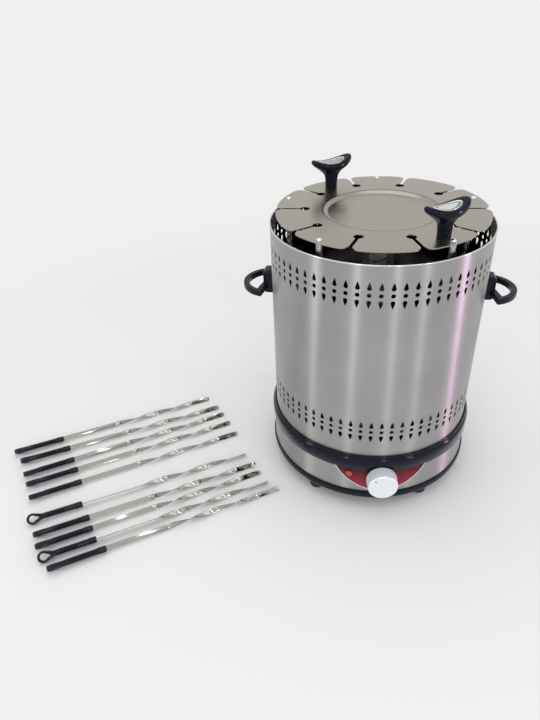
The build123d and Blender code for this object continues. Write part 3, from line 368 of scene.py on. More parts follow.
# The sleeve's upper edge is rolled inwards into a polished bead.
bpy.ops.object.select_all(action="DESELECT")
bpy.ops.mesh.primitive_torus_add(
    major_segments=192, minor_segments=14, major_radius=CASING_R - CASING_WALL_T / 2,
    minor_radius=BEAD_R, location=(0, 0, CASING_RIM - BEAD_R),
)
casing_bead = bpy.context.object
casing_bead.name = "casing_rim_bead"
bpy.ops.object.transform_apply(location=True, rotation=True, scale=True)
bpy.ops.object.shade_smooth()
polished_steel = grained_steel("polished_steel", (0.66, 0.66, 0.66), 0.12)
casing_bead.data.materials.append(polished_steel)
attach(casing_bead, "casing")


# ---------------------------------------------------------------- side handles
# Two D-shaped loops with an upright boss, moulded in black thermoset with softened edges.
# Pan-head screws from inside the casing hold them.


def smooth_copy(node, name, angle=30, bevel=0.0, segments=2):
    """A welded, smoothly shaded copy of a CAD piece, with its sharp edges eased."""
    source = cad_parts[node]
    piece, mesh = empty_mesh_object(name)
    piece.data = source.data.copy()
    piece.data.name = name
    piece.data.materials.clear()
    bpy.ops.object.mode_set(mode="EDIT")
    bpy.ops.mesh.select_all(action="SELECT")
    bpy.ops.mesh.remove_doubles(threshold=0.000005)
    bpy.ops.mesh.tris_convert_to_quads(face_threshold=math.radians(1), shape_threshold=math.radians(180))
    bpy.ops.object.mode_set(mode="OBJECT")
    if bevel:
        ease = piece.modifiers.new("eased", "BEVEL")
        ease.width = bevel
        ease.segments = segments
        ease.limit_method = "ANGLE"
        ease.angle_limit = math.radians(angle)
        ease.harden_normals = False
        bpy.ops.object.modifier_apply(modifier="eased")
    bpy.ops.object.shade_smooth_by_angle(angle=math.radians(angle))
    return piece


def moulded(name, colour, rough, gloss=0.5, mottle=0.12, bump_size=900):
    """Moulded plastic, rubber or ceramic: one colour, faint surface texture and sheen changes."""
    material, shader, tree = plain_nodes(name)
    shader.inputs["Specular IOR Level"].default_value = gloss
    place = tree.nodes.new("ShaderNodeTexCoord")
    cloud = tree.nodes.new("ShaderNodeTexNoise")
    cloud.inputs["Scale"].default_value = 30.0
    cloud.inputs["Detail"].default_value = 4.0
    fine = tree.nodes.new("ShaderNodeTexNoise")
    fine.inputs["Scale"].default_value = bump_size
    fine.inputs["Detail"].default_value = 2.0
    tree.links.new(place.outputs["Object"], cloud.inputs["Vector"])
    tree.links.new(place.outputs["Object"], fine.inputs["Vector"])
    tone = tree.nodes.new("ShaderNodeValToRGB")
    tone.color_ramp.elements[0].position = 0.3
    tone.color_ramp.elements[0].color = tuple(c * (1 - mottle) for c in colour) + (1,)
    tone.color_ramp.elements[1].position = 0.7
    tone.color_ramp.elements[1].color = tuple(c * (1 + mottle) for c in colour) + (1,)
    tree.links.new(cloud.outputs["Fac"], tone.inputs["Fac"])
    tree.links.new(tone.outputs["Color"], shader.inputs["Base Color"])
    rough_from = tree.nodes.new("ShaderNodeMapRange")
    rough_from.inputs["To Min"].default_value = rough * 0.85
    rough_from.inputs["To Max"].default_value = rough * 1.2
    tree.links.new(cloud.outputs["Fac"], rough_from.inputs["Value"])
    tree.links.new(rough_from.outputs["Result"], shader.inputs["Roughness"])
    bump = tree.nodes.new("ShaderNodeBump")
    bump.inputs["Strength"].default_value = 0.08
    bump.inputs["Distance"].default_value = 0.0002
    tree.links.new(fine.outputs["Fac"], bump.inputs["Height"])
    tree.links.new(bump.outputs["Normal"], shader.inputs["Normal"])
    return material


handle_black = moulded("handle_black", (0.005, 0.008, 0.016), 0.24, 0.17)
side_handles = smooth_copy("side_handles", "side_handle_loops", 35, 0.0008, 3)
side_handles.data.materials.append(handle_black)
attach(side_handles, "casing")
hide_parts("side_handles")

plated = grained_steel("plated_screws", (0.80, 0.80, 0.80), 0.16)
handle_screws = smooth_copy("side_handle_screws", "side_handle_fixings", 30, 0.0003)
handle_screws.data.materials.append(plated)
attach(handle_screws, "casing")
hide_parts("side_handle_screws")


# ---------------------------------------------------------------- top plate
# Satin stainless sheet with ten keyholes that open to its edge, and a shallow round dish
# pressed into its middle. Its satin is fine enough to show a soft image of the knobs.

PLATE_TOP = 454 * MM
DISH_EDGE = 87 * MM
DISH_DEPTH = 4 * MM
DISH_FLANK = 9.4 * MM
DISH_SHOULDER = 0.6 * MM
SHEET_T = 1.5 * MM


def turned_rings(name, x, y, profile, sides, cap_first=False, cap_last=False):
    """Turn a piece about an upright axis: a ring is drawn out and resized for each point of its profile."""
    bpy.ops.object.select_all(action="DESELECT")
    bpy.ops.mesh.primitive_circle_add(
        vertices=sides, radius=profile[0][0], location=(x, y, profile[0][1]),
        fill_type="NGON" if cap_first else "NOTHING",
    )
    piece = bpy.context.object
    piece.name = name
    piece.data.name = name
    bpy.ops.object.transform_apply(location=True, rotation=True, scale=True)
    bpy.ops.object.mode_set(mode="EDIT")
    bpy.ops.mesh.select_all(action="SELECT")
    draw_out = bpy.ops.mesh.extrude_region_move if cap_first else bpy.ops.mesh.extrude_edges_move
    for (r0, z0), (r1, z1) in zip(profile, profile[1:]):
        draw_out(TRANSFORM_OT_translate={"value": (0, 0, z1 - z0)})
        bpy.ops.transform.resize(value=(r1 / r0, r1 / r0, 1), center_override=(x, y, z1))
    if cap_last and not cap_first:
        bpy.ops.mesh.edge_face_add()
    bpy.ops.mesh.select_all(action="SELECT")
    bpy.ops.mesh.remove_doubles(threshold=0.000004)
    bpy.ops.mesh.normals_make_consistent(inside=False)
    bpy.ops.object.mode_set(mode="OBJECT")
    return piece


def finish_turned(piece, angle=40):
    """Shade a piece smoothly, but for edges sharper than an angle."""
    bpy.ops.object.select_all(action="DESELECT")
    piece.select_set(True)
    bpy.context.view_layer.objects.active = piece
    bpy.ops.object.shade_smooth_by_angle(angle=math.radians(angle))


plate_steel = grained_steel("plate_satin", (0.385, 0.355, 0.305), 0.26, spots=0.02)
plate = smooth_copy("top_plate", "keyhole_plate", 30)
bpy.ops.object.mode_set(mode="EDIT")
bpy.ops.mesh.select_all(action="DESELECT")
bpy.ops.object.mode_set(mode="OBJECT")
for polygon in plate.data.polygons:
    corners = [plate.data.vertices[i].co for i in polygon.vertices]
    polygon.select = max(math.hypot(co.x, co.y) for co in corners) < DISH_EDGE - 0.4 * MM
bpy.ops.object.mode_set(mode="EDIT")
bpy.ops.mesh.select_mode(type="FACE")
bpy.ops.mesh.delete(type="FACE")
bpy.ops.object.mode_set(mode="OBJECT")
plate_edge = plate.modifiers.new("eased", "BEVEL")
plate_edge.width = 0.0003
plate_edge.segments = 2
plate_edge.limit_method = "ANGLE"
plate_edge.angle_limit = math.radians(60)
bpy.ops.object.modifier_apply(modifier="eased")
bpy.ops.object.shade_smooth_by_angle(angle=math.radians(30))
plate.data.materials.append(plate_steel)
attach(plate, "base")
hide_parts("top_plate")

dish_profile = [(DISH_EDGE, PLATE_TOP - SHEET_T), (DISH_EDGE, PLATE_TOP)]
for k in range(13):
    share = k / 12
    drop = DISH_DEPTH * (1 - math.cos(math.pi * share)) / 2
    dish_profile.append((DISH_EDGE - DISH_SHOULDER - DISH_FLANK * share, PLATE_TOP - drop))
dish_profile += [(r * MM, PLATE_TOP - DISH_DEPTH) for r in (60, 30, 2)]
dish = turned_rings("plate_dish", 0, 0, dish_profile, 160, cap_last=True)
if dish.data.polygons[-1].normal.z < 0:
    dish.data.flip_normals()
sheet = dish.modifiers.new("sheet", "SOLIDIFY")
sheet.thickness = 1.4 * MM
sheet.offset = -1
bpy.ops.object.modifier_apply(modifier="sheet")
finish_turned(dish, 30)
dish.data.materials.append(plate_steel)
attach(dish, "base")

# Five dome screws hold the plate on its posts, and two pan heads under it hold the knobs.
plate_screws = smooth_copy("plate_screws", "plate_fixings", 40)
plate_screws.data.materials.append(plated)
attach(plate_screws, "base")
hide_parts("plate_screws")

# Five turned and plated posts run from the feet up to the plate.
posts = smooth_copy("support_posts", "plate_posts", 30, 0.0003)
post_steel = grained_steel("post_steel", (0.30, 0.30, 0.30), 0.20)
posts.data.materials.append(post_steel)
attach(posts, "base")
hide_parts("support_posts")


# ---------------------------------------------------------------- knobs on the top plate
# Moulded in black: a round stem that widens into a long saddle-shaped head. A curved oval of
# brushed metal with a bright border is let into the head, and a small arch is pressed in the stem.

KNOB_CIRCLE = 129 * MM
KNOB_TURNS = (30.2, 210.2)
SADDLE_DIP = 9.5 * MM
HEAD_HALF_L = 36.4 * MM
OVAL_SIDES = 64
ARCH_DEPTH = 1.3 * MM
knob_rings = [
    # height, half length along the head, half width across it, share of the saddle's bend
    (0.0, 9.0, 9.0, 0.0), (0.6, 9.4, 9.4, 0.0), (6, 9.5, 9.4, 0.0), (13, 10.2, 9.8, 0.0),
    (18, 11.4, 10.3, 0.04), (21.5, 13.6, 11.2, 0.14), (24.4, 17.4, 12.4, 0.38), (26.6, 22.4, 13.8, 0.72),
    (28.2, 28.2, 15.4, 0.95), (29.6, 33.0, 17.0, 1.0), (31.6, 35.8, 18.1, 1.0), (34.0, 36.4, 18.4, 1.0),
    (36.4, 35.9, 18.1, 1.0), (38.2, 34.4, 17.2, 1.0), (39.3, 31.6, 15.6, 1.0), (39.5, 27.6, 13.4, 1.0),
    (39.2, 24.4, 11.9, 1.0), (38.4, 23.6, 11.6, 1.0), (37.6, 23.4, 11.5, 1.0), (37.6, 16, 8, 1.0),
    (37.6, 8, 4, 1.0), (37.6, 0.5, 0.25, 1.0),
]


def oval_rings(name, rings, sides):
    """An oval body drawn out ring by ring, then bent along its length into a saddle."""
    bpy.ops.object.select_all(action="DESELECT")
    bpy.ops.mesh.primitive_circle_add(vertices=sides, radius=1, location=(0, 0, 0), fill_type="NGON")
    piece = bpy.context.object
    piece.name = name
    piece.data.name = name
    piece.scale = (rings[0][2] * MM, rings[0][1] * MM, 1)
    piece.location = (0, 0, rings[0][0] * MM)
    bpy.ops.object.transform_apply(location=True, rotation=True, scale=True)
    bpy.ops.object.mode_set(mode="EDIT")
    bpy.ops.mesh.select_all(action="SELECT")
    for low, high in zip(rings, rings[1:]):
        bpy.ops.mesh.extrude_region_move(TRANSFORM_OT_translate={"value": (0, 0, (high[0] - low[0]) * MM)})
        bpy.ops.transform.resize(
            value=(high[2] / low[2], high[1] / low[1], 1), center_override=(0, 0, high[0] * MM)
        )
    bpy.ops.mesh.select_all(action="SELECT")
    bpy.ops.mesh.normals_make_consistent(inside=False)
    bpy.ops.object.mode_set(mode="OBJECT")
    for k, vertex in enumerate(piece.data.vertices):
        ring = rings[min(k // sides, len(rings) - 1)]
        vertex.co.z += ring[3] * SADDLE_DIP * (vertex.co.y / HEAD_HALF_L) ** 2
    return piece


def set_knob(piece, azimuth):
    """Turn and move a knob's piece from the axis to its place on the plate."""
    a = math.radians(azimuth)
    piece.data.transform(
        Matrix.Translation((KNOB_CIRCLE * math.sin(a), -KNOB_CIRCLE * math.cos(a), PLATE_TOP))
        @ Matrix.Rotation(a - math.pi / 2, 4, "Z")
    )


knob_black = moulded("knob_black", (0.003, 0.005, 0.012), 0.12, 0.17)
inlay_metal = grained_steel("inlay_metal", (0.34, 0.335, 0.325), 0.42)
border_metal = grained_steel("border_metal", (0.74, 0.75, 0.77), 0.16)

knob_first = oval_rings("plate_knob_first", knob_rings, OVAL_SIDES)
for vertex in knob_first.data.vertices:
    # the arch-shaped recess on the outer face of the stem, up to a third of its height
    height, side = vertex.co.z / MM, vertex.co.y / MM
    if vertex.co.x > 5 * MM and 0.3 < height < 16 and abs(side) < 4.6:
        vertex.co.x -= ARCH_DEPTH
finish_turned(knob_first, 42)
knob_first.data.materials.append(knob_black)
knob_second = knob_first.copy()
knob_second.data = knob_first.data.copy()
knob_second.name = "plate_knob_second"
bpy.context.scene.collection.objects.link(knob_second)
set_knob(knob_first, KNOB_TURNS[0])
set_knob(knob_second, KNOB_TURNS[1])
for piece in (knob_first, knob_second):
    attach(piece, "base")
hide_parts("plate_knobs")
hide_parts("plate_knobs")

inlay_rings = [
    (38.0, 21.3, 9.9, 1.0), (39.0, 21.3, 9.9, 1.0), (39.3, 20.9, 9.5, 1.0), (39.35, 14, 6.3, 1.0),
    (39.35, 7, 3.1, 1.0), (39.35, 0.5, 0.25, 1.0),
]
border_rings = [
    (38.0, 23.4, 11.4, 1.0), (39.2, 23.4, 11.4, 1.0), (39.6, 23.0, 11.1, 1.0), (39.6, 21.9, 10.4, 1.0),
    (39.2, 21.4, 9.95, 1.0), (38.0, 21.4, 9.95, 1.0),
]
inlay_parts = (("inlay", inlay_rings, inlay_metal), ("inlay_border", border_rings, border_metal))
for name, rings, metal in inlay_parts:
    first = oval_rings(f"knob_{name}_first", rings, OVAL_SIDES)
    finish_turned(first, 50)
    first.data.materials.append(metal)
    second = first.copy()
    second.data = first.data.copy()
    second.name = f"knob_{name}_second"
    bpy.context.scene.collection.objects.link(second)
    for piece, turn in ((first, KNOB_TURNS[0]), (second, KNOB_TURNS[1])):
        set_knob(piece, turn)
        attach(piece, "base")
        if name == "inlay":
            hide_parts("knob_inlays")


# ---------------------------------------------------------------- ring cover and base shells
# The moulded ring has two soft beads and a skirt, in glossy black. Below it come the rolled
# band of the same bright sheet as the casing, and the pressed tray in black enamel.

ring_profile = [
    (154, 112), (154, 109), (165.5, 109), (165.5, 95.5), (167.7, 95.5), (167.7, 103.5), (169.3, 103.5),
    (169.3, 87.9), (169.7, 87.5), (171.2, 87.5), (171.7, 88.1), (171.7, 104.5), (171.5, 106.3),
    (170.8, 108.1), (169.9, 109.4), (169.2, 110.1), (168.9, 110.6), (168.8, 111.8), (168.6, 113.1),
    (168.1, 114.3), (167.4, 115.0), (166.7, 114.7), (166.2, 113.9), (166.0, 113.5), (163.4, 113.5),
    (163.4, 119.2), (163.1, 119.5), (159.3, 119.5), (159, 119.2), (159, 112), (154, 112),
]
ring_cover = turned_rings("base_ring_cover", 0, 0, [(r * MM, z * MM) for r, z in ring_profile], 192)
finish_turned(ring_cover, 45)
ring_black = moulded("ring_black", (0.003, 0.005, 0.012), 0.09, 0.18)
ring_cover.data.materials.append(ring_black)
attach(ring_cover, "base")
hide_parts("ring_cover")

band_profile = [(168, 39.5), (169, 39.5), (169, 103.5), (168, 103.5), (168, 39.5)]
side_band = turned_rings("base_side_band", 0, 0, [(r * MM, z * MM) for r, z in band_profile], 192)
finish_turned(side_band, 30)
side_band.data.materials.append(rolled_steel)
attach(side_band, "base")
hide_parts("side_band")

tray_black = moulded("tray_enamel", (0.004, 0.006, 0.012), 0.13, 0.17)
tray = smooth_copy("bottom_tray", "base_tray", 30, 0.0004)
tray.data.materials.append(tray_black)
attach(tray, "base")
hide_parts("bottom_tray")

# Five rubber feet with a groove round the sole are pushed on the posts' lower ends.
rubber = moulded("foot_rubber", (0.012, 0.012, 0.013), 0.6, mottle=0.2, bump_size=500)
FOOT_CIRCLE = 147 * MM
FOOT_AZIMUTH = 30.2
foot_profile = [
    (0.6, 0), (11.0, 0), (12.0, 0.5), (12.5, 1.6), (12.5, 3.0), (12.0, 3.6), (12.1, 4.4),
    (10.9, 18.6), (10.4, 19.7), (9.6, 20.0), (0.6, 20.0),
]
for k in range(5):
    a = math.radians(FOOT_AZIMUTH + 72 * k)
    foot = turned_rings(
        f"rubber_foot_{k + 1}", FOOT_CIRCLE * math.sin(a), -FOOT_CIRCLE * math.cos(a),
        [(r * MM, z * MM) for r, z in foot_profile], 40, cap_first=True,
    )
    finish_turned(foot, 40)
    foot.data.materials.append(rubber)
    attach(foot, "base")
    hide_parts("feet")


# ---------------------------------------------------------------- control panel
# A crescent of red printed film, darker towards the ring above it, in a thin silver border.
# A small lamp sits in its left part, and the timer's shaft comes through its middle.

panel_red, shader, tree = plain_nodes("panel_film")
place = tree.nodes.new("ShaderNodeTexCoord")
parts = tree.nodes.new("ShaderNodeSeparateXYZ")
tree.links.new(place.outputs["Object"], parts.inputs["Vector"])
height = tree.nodes.new("ShaderNodeMapRange")
height.inputs["From Min"].default_value = 46 * MM
height.inputs["From Max"].default_value = 88 * MM
tree.links.new(parts.outputs["Z"], height.inputs["Value"])
shade = tree.nodes.new("ShaderNodeValToRGB")
shade.color_ramp.elements[0].color = (0.30, 0.022, 0.042, 1)
shade.color_ramp.elements[1].color = (0.035, 0.005, 0.008, 1)
middle = shade.color_ramp.elements.new(0.55)
middle.color = (0.20, 0.017, 0.030, 1)
tree.links.new(height.outputs["Result"], shade.inputs["Fac"])
tree.links.new(shade.outputs["Color"], shader.inputs["Base Color"])
shader.inputs["Specular IOR Level"].default_value = 0.2
speck = tree.nodes.new("ShaderNodeTexNoise")
speck.inputs["Scale"].default_value = 60
tree.links.new(place.outputs["Object"], speck.inputs["Vector"])
sheen = tree.nodes.new("ShaderNodeMapRange")
sheen.inputs["To Min"].default_value = 0.22
sheen.inputs["To Max"].default_value = 0.34
tree.links.new(speck.outputs["Fac"], sheen.inputs["Value"])
tree.links.new(sheen.outputs["Result"], shader.inputs["Roughness"])
panel = smooth_copy("control_panel", "crescent_panel", 30)
panel.data.materials.append(panel_red)
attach(panel, "base")
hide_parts("control_panel")

trim = smooth_copy("panel_trim", "crescent_border", 30, 0.0003)
trim.data.materials.append(border_metal)
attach(trim, "base")
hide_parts("panel_trim")

# The indicator: a domed orange-red lens in a thin dark bezel.
lens_red, shader, tree = plain_nodes("lens_red")
shader.inputs["Base Color"].default_value = (0.42, 0.035, 0.015, 1)
shader.inputs["Roughness"].default_value = 0.16
shader.inputs["Emission Color"].default_value = (0.8, 0.09, 0.03, 1)
shader.inputs["Emission Strength"].default_value = 0.03
place = tree.nodes.new("ShaderNodeTexCoord")
facet = tree.nodes.new("ShaderNodeTexVoronoi")
facet.inputs["Scale"].default_value = 700
tree.links.new(place.outputs["Object"], facet.inputs["Vector"])
facet_bump = tree.nodes.new("ShaderNodeBump")
facet_bump.inputs["Strength"].default_value = 0.25
facet_bump.inputs["Distance"].default_value = 0.0003
tree.links.new(facet.outputs["Distance"], facet_bump.inputs["Height"])
tree.links.new(facet_bump.outputs["Normal"], shader.inputs["Normal"])
lens = smooth_copy("indicator_lens", "indicator_lens_dome", 45)
lens.data.materials.append(lens_red)
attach(lens, "base")
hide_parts("indicator_lens")

LAMP_TURN = math.radians(-17.2)
PANEL_FACE_Y = -170.4 * MM
LAMP_HEIGHT = 75 * MM
bezel = turned_rings(
    "indicator_bezel", 0, 0,
    [(5.6 * MM, 0), (6.9 * MM, 0), (6.9 * MM, 1.0 * MM), (6.6 * MM, 1.35 * MM), (6.0 * MM, 1.35 * MM),
     (5.6 * MM, 1.0 * MM), (5.6 * MM, 0)], 48,
)
finish_turned(bezel, 40)
bezel.data.transform(
    Matrix.Rotation(LAMP_TURN, 4, "Z") @ Matrix.Translation((0, PANEL_FACE_Y, LAMP_HEIGHT))
    @ Matrix.Rotation(math.pi / 2, 4, "X")
)
bezel_red = moulded("bezel_red", (0.09, 0.008, 0.010), 0.16)
bezel.data.materials.append(bezel_red)
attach(bezel, "base")


# ---------------------------------------------------------------- timer knob
# A fluted cap in silver-white metallised plastic on the timer's steel shaft, with a flat
# face inside a fine step and a short pointer line at its edge.

KNOB_R = 24.4
KNOB_FACE_Y = 193.8
KNOB_DEPTH = 20.7
TIMER_HEIGHT = 72.5 * MM
FLUTES = 40
POINTER_TURN = math.radians(-42)
bpy.ops.object.select_all(action="DESELECT")
bpy.ops.mesh.primitive_circle_add(
    vertices=4 * FLUTES, radius=KNOB_R * MM, location=(0, 0, 0), fill_type="NGON",
)
timer_knob = bpy.context.object
timer_knob.name = "timer_knob_cap"
timer_rings = [
    (0, KNOB_R), (0.5, KNOB_R), (6, KNOB_R - 0.15), (12, KNOB_R - 0.35), (17.8, KNOB_R - 0.6),
    (19.4, KNOB_R - 0.9), (20.3, KNOB_R - 1.6), (20.7, KNOB_R - 2.6), (20.7, KNOB_R - 4.0),
    (20.5, KNOB_R - 4.3), (20.45, 12), (20.45, 5), (20.45, 0.6),
]
bpy.ops.object.mode_set(mode="EDIT")
bpy.ops.mesh.select_all(action="SELECT")
for (d0, r0), (d1, r1) in zip(timer_rings, timer_rings[1:]):
    bpy.ops.mesh.extrude_region_move(TRANSFORM_OT_translate={"value": (0, 0, (d1 - d0) * MM)})
    bpy.ops.transform.resize(value=(r1 / r0, r1 / r0, 1), center_override=(0, 0, d1 * MM))
bpy.ops.mesh.select_all(action="SELECT")
bpy.ops.mesh.normals_make_consistent(inside=False)
bpy.ops.object.mode_set(mode="OBJECT")
for k, vertex in enumerate(timer_knob.data.vertices):
    depth = vertex.co.z / MM
    if depth < 20.0:
        dip = {0: 0.0, 1: 0.35, 2: 0.9, 3: 0.35}[k % 4]
        fade = 1.0 if depth < 17 else (20.0 - depth) / 3
        reach = math.hypot(vertex.co.x, vertex.co.y)
        vertex.co.x *= 1 - dip * fade * MM / reach
        vertex.co.y *= 1 - dip * fade * MM / reach
timer_knob.data.transform(
    Matrix.Translation((0, -(KNOB_FACE_Y - KNOB_DEPTH) * MM, TIMER_HEIGHT))
    @ Matrix.Rotation(math.pi / 2, 4, "X")
)
finish_turned(timer_knob, 28)
knob_silver = grained_steel("knob_silver", (0.84, 0.88, 0.89), 0.28, spots=0.01, metallic=0.35)
timer_knob.data.materials.append(knob_silver)
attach(timer_knob, "timer")
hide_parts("timer_knob")

bpy.ops.object.select_all(action="DESELECT")
bpy.ops.mesh.primitive_cube_add(size=1, location=(0, 0, 0))
pointer = bpy.context.object
pointer.name = "timer_pointer"
pointer.scale = (1.4 * MM, 0.24 * MM, 5.0 * MM)
pointer.location = (0, -(KNOB_FACE_Y - 0.1) * MM, TIMER_HEIGHT + 18.2 * MM)
bpy.ops.object.transform_apply(location=True, rotation=True, scale=True)
round_ends = pointer.modifiers.new("eased", "BEVEL")
round_ends.width = 0.0001
round_ends.segments = 2
bpy.ops.object.modifier_apply(modifier="eased")
pointer.data.transform(
    Matrix.Translation((0, 0, TIMER_HEIGHT)) @ Matrix.Rotation(POINTER_TURN, 4, "Y")
    @ Matrix.Translation((0, 0, -TIMER_HEIGHT))
)
pointer_grey = moulded("pointer_grey", (0.18, 0.20, 0.24), 0.4)
pointer.data.materials.append(pointer_grey)
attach(pointer, "timer")

turned_steel = grained_steel("turned_steel", (0.50, 0.50, 0.50), 0.28, True)
timer_shaft = smooth_copy("timer_shaft", "timer_spindle", 30, 0.0002)
timer_shaft.data.materials.append(turned_steel)
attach(timer_shaft, "timer")
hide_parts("timer_shaft")


# ---------------------------------------------------------------- pieces inside
# Deck, gear carrier, gears, spindles, motor, cups, heater, lead entry and timer switch.
# They keep the shapes they were drawn with, welded and with their edges eased.

deck_enamel = moulded("deck_enamel", (0.035, 0.036, 0.040), 0.40)
zinc_sheet = grained_steel("zinc_sheet", (0.50, 0.51, 0.51), 0.42, spots=0.08)
nylon = moulded("gear_nylon", (0.70, 0.67, 0.58), 0.5, mottle=0.05)
cup_steel = grained_steel("cup_steel", (0.60, 0.60, 0.59), 0.28, spots=0.05)
white_ceramic = moulded("white_ceramic", (0.74, 0.71, 0.65), 0.75, mottle=0.06, bump_size=1400)
coil_wire = grained_steel("coil_wire", (0.26, 0.21, 0.18), 0.45, spots=0.1)
lead_black = moulded("lead_black", (0.022, 0.022, 0.024), 0.55)
quartz, shader, tree = plain_nodes("quartz")
shader.inputs["Base Color"].default_value = (0.95, 0.94, 0.92, 1)
shader.inputs["Transmission Weight"].default_value = 0.9
shader.inputs["Roughness"].default_value = 0.08
shader.inputs["IOR"].default_value = 1.46
place = tree.nodes.new("ShaderNodeTexCoord")
ripple = tree.nodes.new("ShaderNodeTexNoise")
ripple.inputs["Scale"].default_value = 40
tree.links.new(place.outputs["Object"], ripple.inputs["Vector"])
ripple_bump = tree.nodes.new("ShaderNodeBump")
ripple_bump.inputs["Strength"].default_value = 0.1
ripple_bump.inputs["Distance"].default_value = 0.0004
tree.links.new(ripple.outputs["Fac"], ripple_bump.inputs["Height"])
tree.links.new(ripple_bump.outputs["Normal"], shader.inputs["Normal"])

inner = [
    ("deck_plate", "base", deck_enamel, 30, 0.0002, "deck_enamel"),
    ("gear_plate", "base", zinc_sheet, 30, 0.0003, "galvanised"),
    ("drive_motor", "base", zinc_sheet, 30, 0.0003, "galvanised"),
    ("terminal_block", "base", white_ceramic, 30, 0.0003, "ceramic_white"),
    ("cord_gland", "base", lead_black, 30, 0.0004, "black_matte"),
    ("timer_body", "base", lead_black, 30, 0.0004, "black_matte"),
    ("heater_caps", "base", white_ceramic, 30, 0.0004, "ceramic_white"),
    ("heater_core", "base", white_ceramic, 30, 0.0003, "ceramic_white"),
    ("heater_coil", "base", coil_wire, 60, 0.0, "coil_alloy"),
    ("heater_tube", "base", quartz, 30, 0.0002, "quartz"),
    ("drip_cups", "cups", cup_steel, 30, 0.0002, "cup_steel"),
    ("sun_gear", "sun", nylon, 25, 0.0002, "gear_nylon"),
    ("motor_pinion", "pinion", turned_steel, 25, 0.0002, "machine_steel"),
]
inner += [
    (f"spindle_{k:02d}", f"spindle_{k:02d}", turned_steel, 25, 0.0002, "machine_steel") for k in range(1, 11)
]
for node, body, finish, angle, bevel, slot in inner:
    piece = smooth_copy(node, node + "_finished", angle, bevel)
    piece.data.materials.append(finish)
    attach(piece, body)
    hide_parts(node)


# ---------------------------------------------------------------- skewers
# Stainless strip, twisted cold in the middle, in black grips moulded round its end. A grip is
# ribbed where the hand holds it and ends in a teardrop eye. Grips are modelled once and copied.

SKEWER_L = 390
GRIP_L = 91
GRIP_R = 5.2
RIB_START = 37
RIB_PITCH = 3.9
RIBS = 10
EYE_R = 9.25
EYE_T = 9.0
HOLE_R = 5.4
REST_HALF_T = 3.25    # the eye's half thickness by which a skewer is laid down
REST_GAP = 0.15       # and its gap to the floor
TIP_HEIGHT = 3.8      # height of the blade's axis at its tip
SKEWER_PLACES = [
    # the grip's end, the way to the tip from +X, and the roll about the blade
    (-669.5, -22.9, 23.8, 47.0), (-648.6, -48.6, 23.1, 42.0), (-631.0, -82.6, 24.9, 50.0),
    (-616.8, -108.5, 24.7, 44.0), (-600.9, -139.3, 24.5, 48.0), (-585.8, -189.9, 23.1, -47.0),
    (-564.9, -220.5, 23.8, 40.0), (-554.0, -243.2, 24.1, 49.0), (-541.7, -265.9, 23.9, -43.0),
    (-521.2, -284.9, 24.4, 46.0),
]

blade_steel = grained_steel("blade_steel", (0.46, 0.445, 0.405), 0.13, spots=0.04)
grip_black = moulded("grip_black", (0.003, 0.005, 0.012), 0.16, 0.30)

rib_swell = [(0.0, -1.2), (0.14, -0.75), (0.32, 0.15), (0.5, 0.4), (0.68, 0.15), (0.86, -0.75)]
grip_profile = [(0.6, 22), (3.4, 22.3), (4.4, 24.0), (4.7, 28), (5.0, 33), (GRIP_R, RIB_START - 1)]
for k in range(RIBS):
    for share, swell in rib_swell:
        grip_profile.append((GRIP_R + swell, RIB_START + (k + share) * RIB_PITCH))
grip_profile += [
    (GRIP_R - 1.2, RIB_START + RIBS * RIB_PITCH), (GRIP_R, RIB_START + RIBS * RIB_PITCH + 1.2),
    (GRIP_R, GRIP_L - 1.4), (GRIP_R - 0.4, GRIP_L - 0.5), (GRIP_R - 1.2, GRIP_L), (0.6, GRIP_L),
]
grip = turned_rings("grip_model", 0, 0, [(r * MM, z * MM) for r, z in grip_profile], 36, True, True)
grip.data.transform(Matrix.Rotation(math.pi / 2, 4, "Y"))
finish_turned(grip, 50)

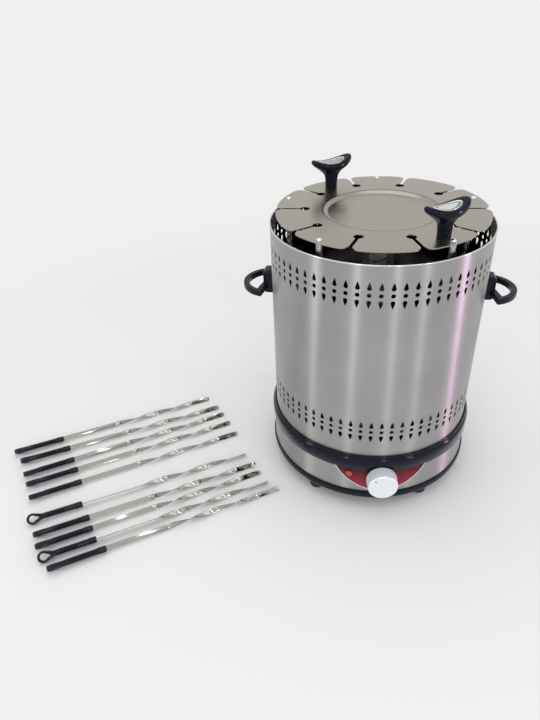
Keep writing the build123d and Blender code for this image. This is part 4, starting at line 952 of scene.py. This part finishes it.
# The eye: a flat teardrop with a teardrop hole, drawn as two rings, filled, raised and eased.
eye, eye_mesh = empty_mesh_object("grip_eye")
eye_points, eye_edges = [], []
eye_rings = [(EYE_R, 72, [(25, -4.6), (36, -4.6), (36, 4.6), (25, 4.6)]), (HOLE_R, 61.3, [(20.5, 0)])]
for radius, lean, corners in eye_rings:
    turn = [math.radians(lean + k * (360 - 2 * lean) / 24) for k in range(25)]
    arc = [(EYE_R + radius * math.cos(a), radius * math.sin(a)) for a in turn]
    edge_loop(eye_points, eye_edges, arc + corners)
eye_mesh.from_pydata([(x * MM, -EYE_T / 2 * MM, z * MM) for x, z in eye_points], eye_edges, [])
bpy.ops.object.mode_set(mode="EDIT")
bpy.ops.mesh.select_all(action="SELECT")
bpy.ops.mesh.fill(use_beauty=True)
bpy.ops.mesh.select_all(action="SELECT")
bpy.ops.mesh.extrude_region_move(TRANSFORM_OT_translate={"value": (0, EYE_T * MM, 0)})
bpy.ops.mesh.select_all(action="SELECT")
bpy.ops.mesh.normals_make_consistent(inside=False)
bpy.ops.object.mode_set(mode="OBJECT")
ease = eye.modifiers.new("eased", "BEVEL")
ease.width = 1.7 * MM
ease.segments = 4
ease.limit_method = "ANGLE"
ease.angle_limit = math.radians(60)
bpy.ops.object.modifier_apply(modifier="eased")
finish_turned(eye, 50)
grip.select_set(True)
bpy.context.view_layer.objects.active = grip
bpy.ops.object.join()
grip.data.materials.clear()
grip.data.materials.append(grip_black)

for k, (x, y, heading, roll) in enumerate(SKEWER_PLACES, 1):
    blade = smooth_copy(f"skewer_blade_{k:02d}", f"blade_{k:02d}", 35)
    blade.data.materials.append(blade_steel)
    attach(blade, f"skewer_{k:02d}")
    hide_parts(f"skewer_blade_{k:02d}")
    held = grip
    if k < len(SKEWER_PLACES):
        held = grip.copy()
        held.data = grip.data.copy()
        bpy.context.scene.collection.objects.link(held)
    held.name = f"grip_{k:02d}"
    turn = math.radians(roll)
    height = EYE_R * abs(math.cos(turn)) + REST_HALF_T * abs(math.sin(turn)) + REST_GAP
    tilt = math.asin((height - TIP_HEIGHT) / SKEWER_L)
    held.data.transform(
        Matrix.Translation((x * MM, y * MM, height * MM))
        @ Matrix.Rotation(math.radians(heading), 4, "Z")
        @ Matrix.Rotation(tilt, 4, "Y") @ Matrix.Rotation(turn, 4, "X")
    )
    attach(held, f"skewer_{k:02d}")
    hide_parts(f"skewer_handle_{k:02d}")
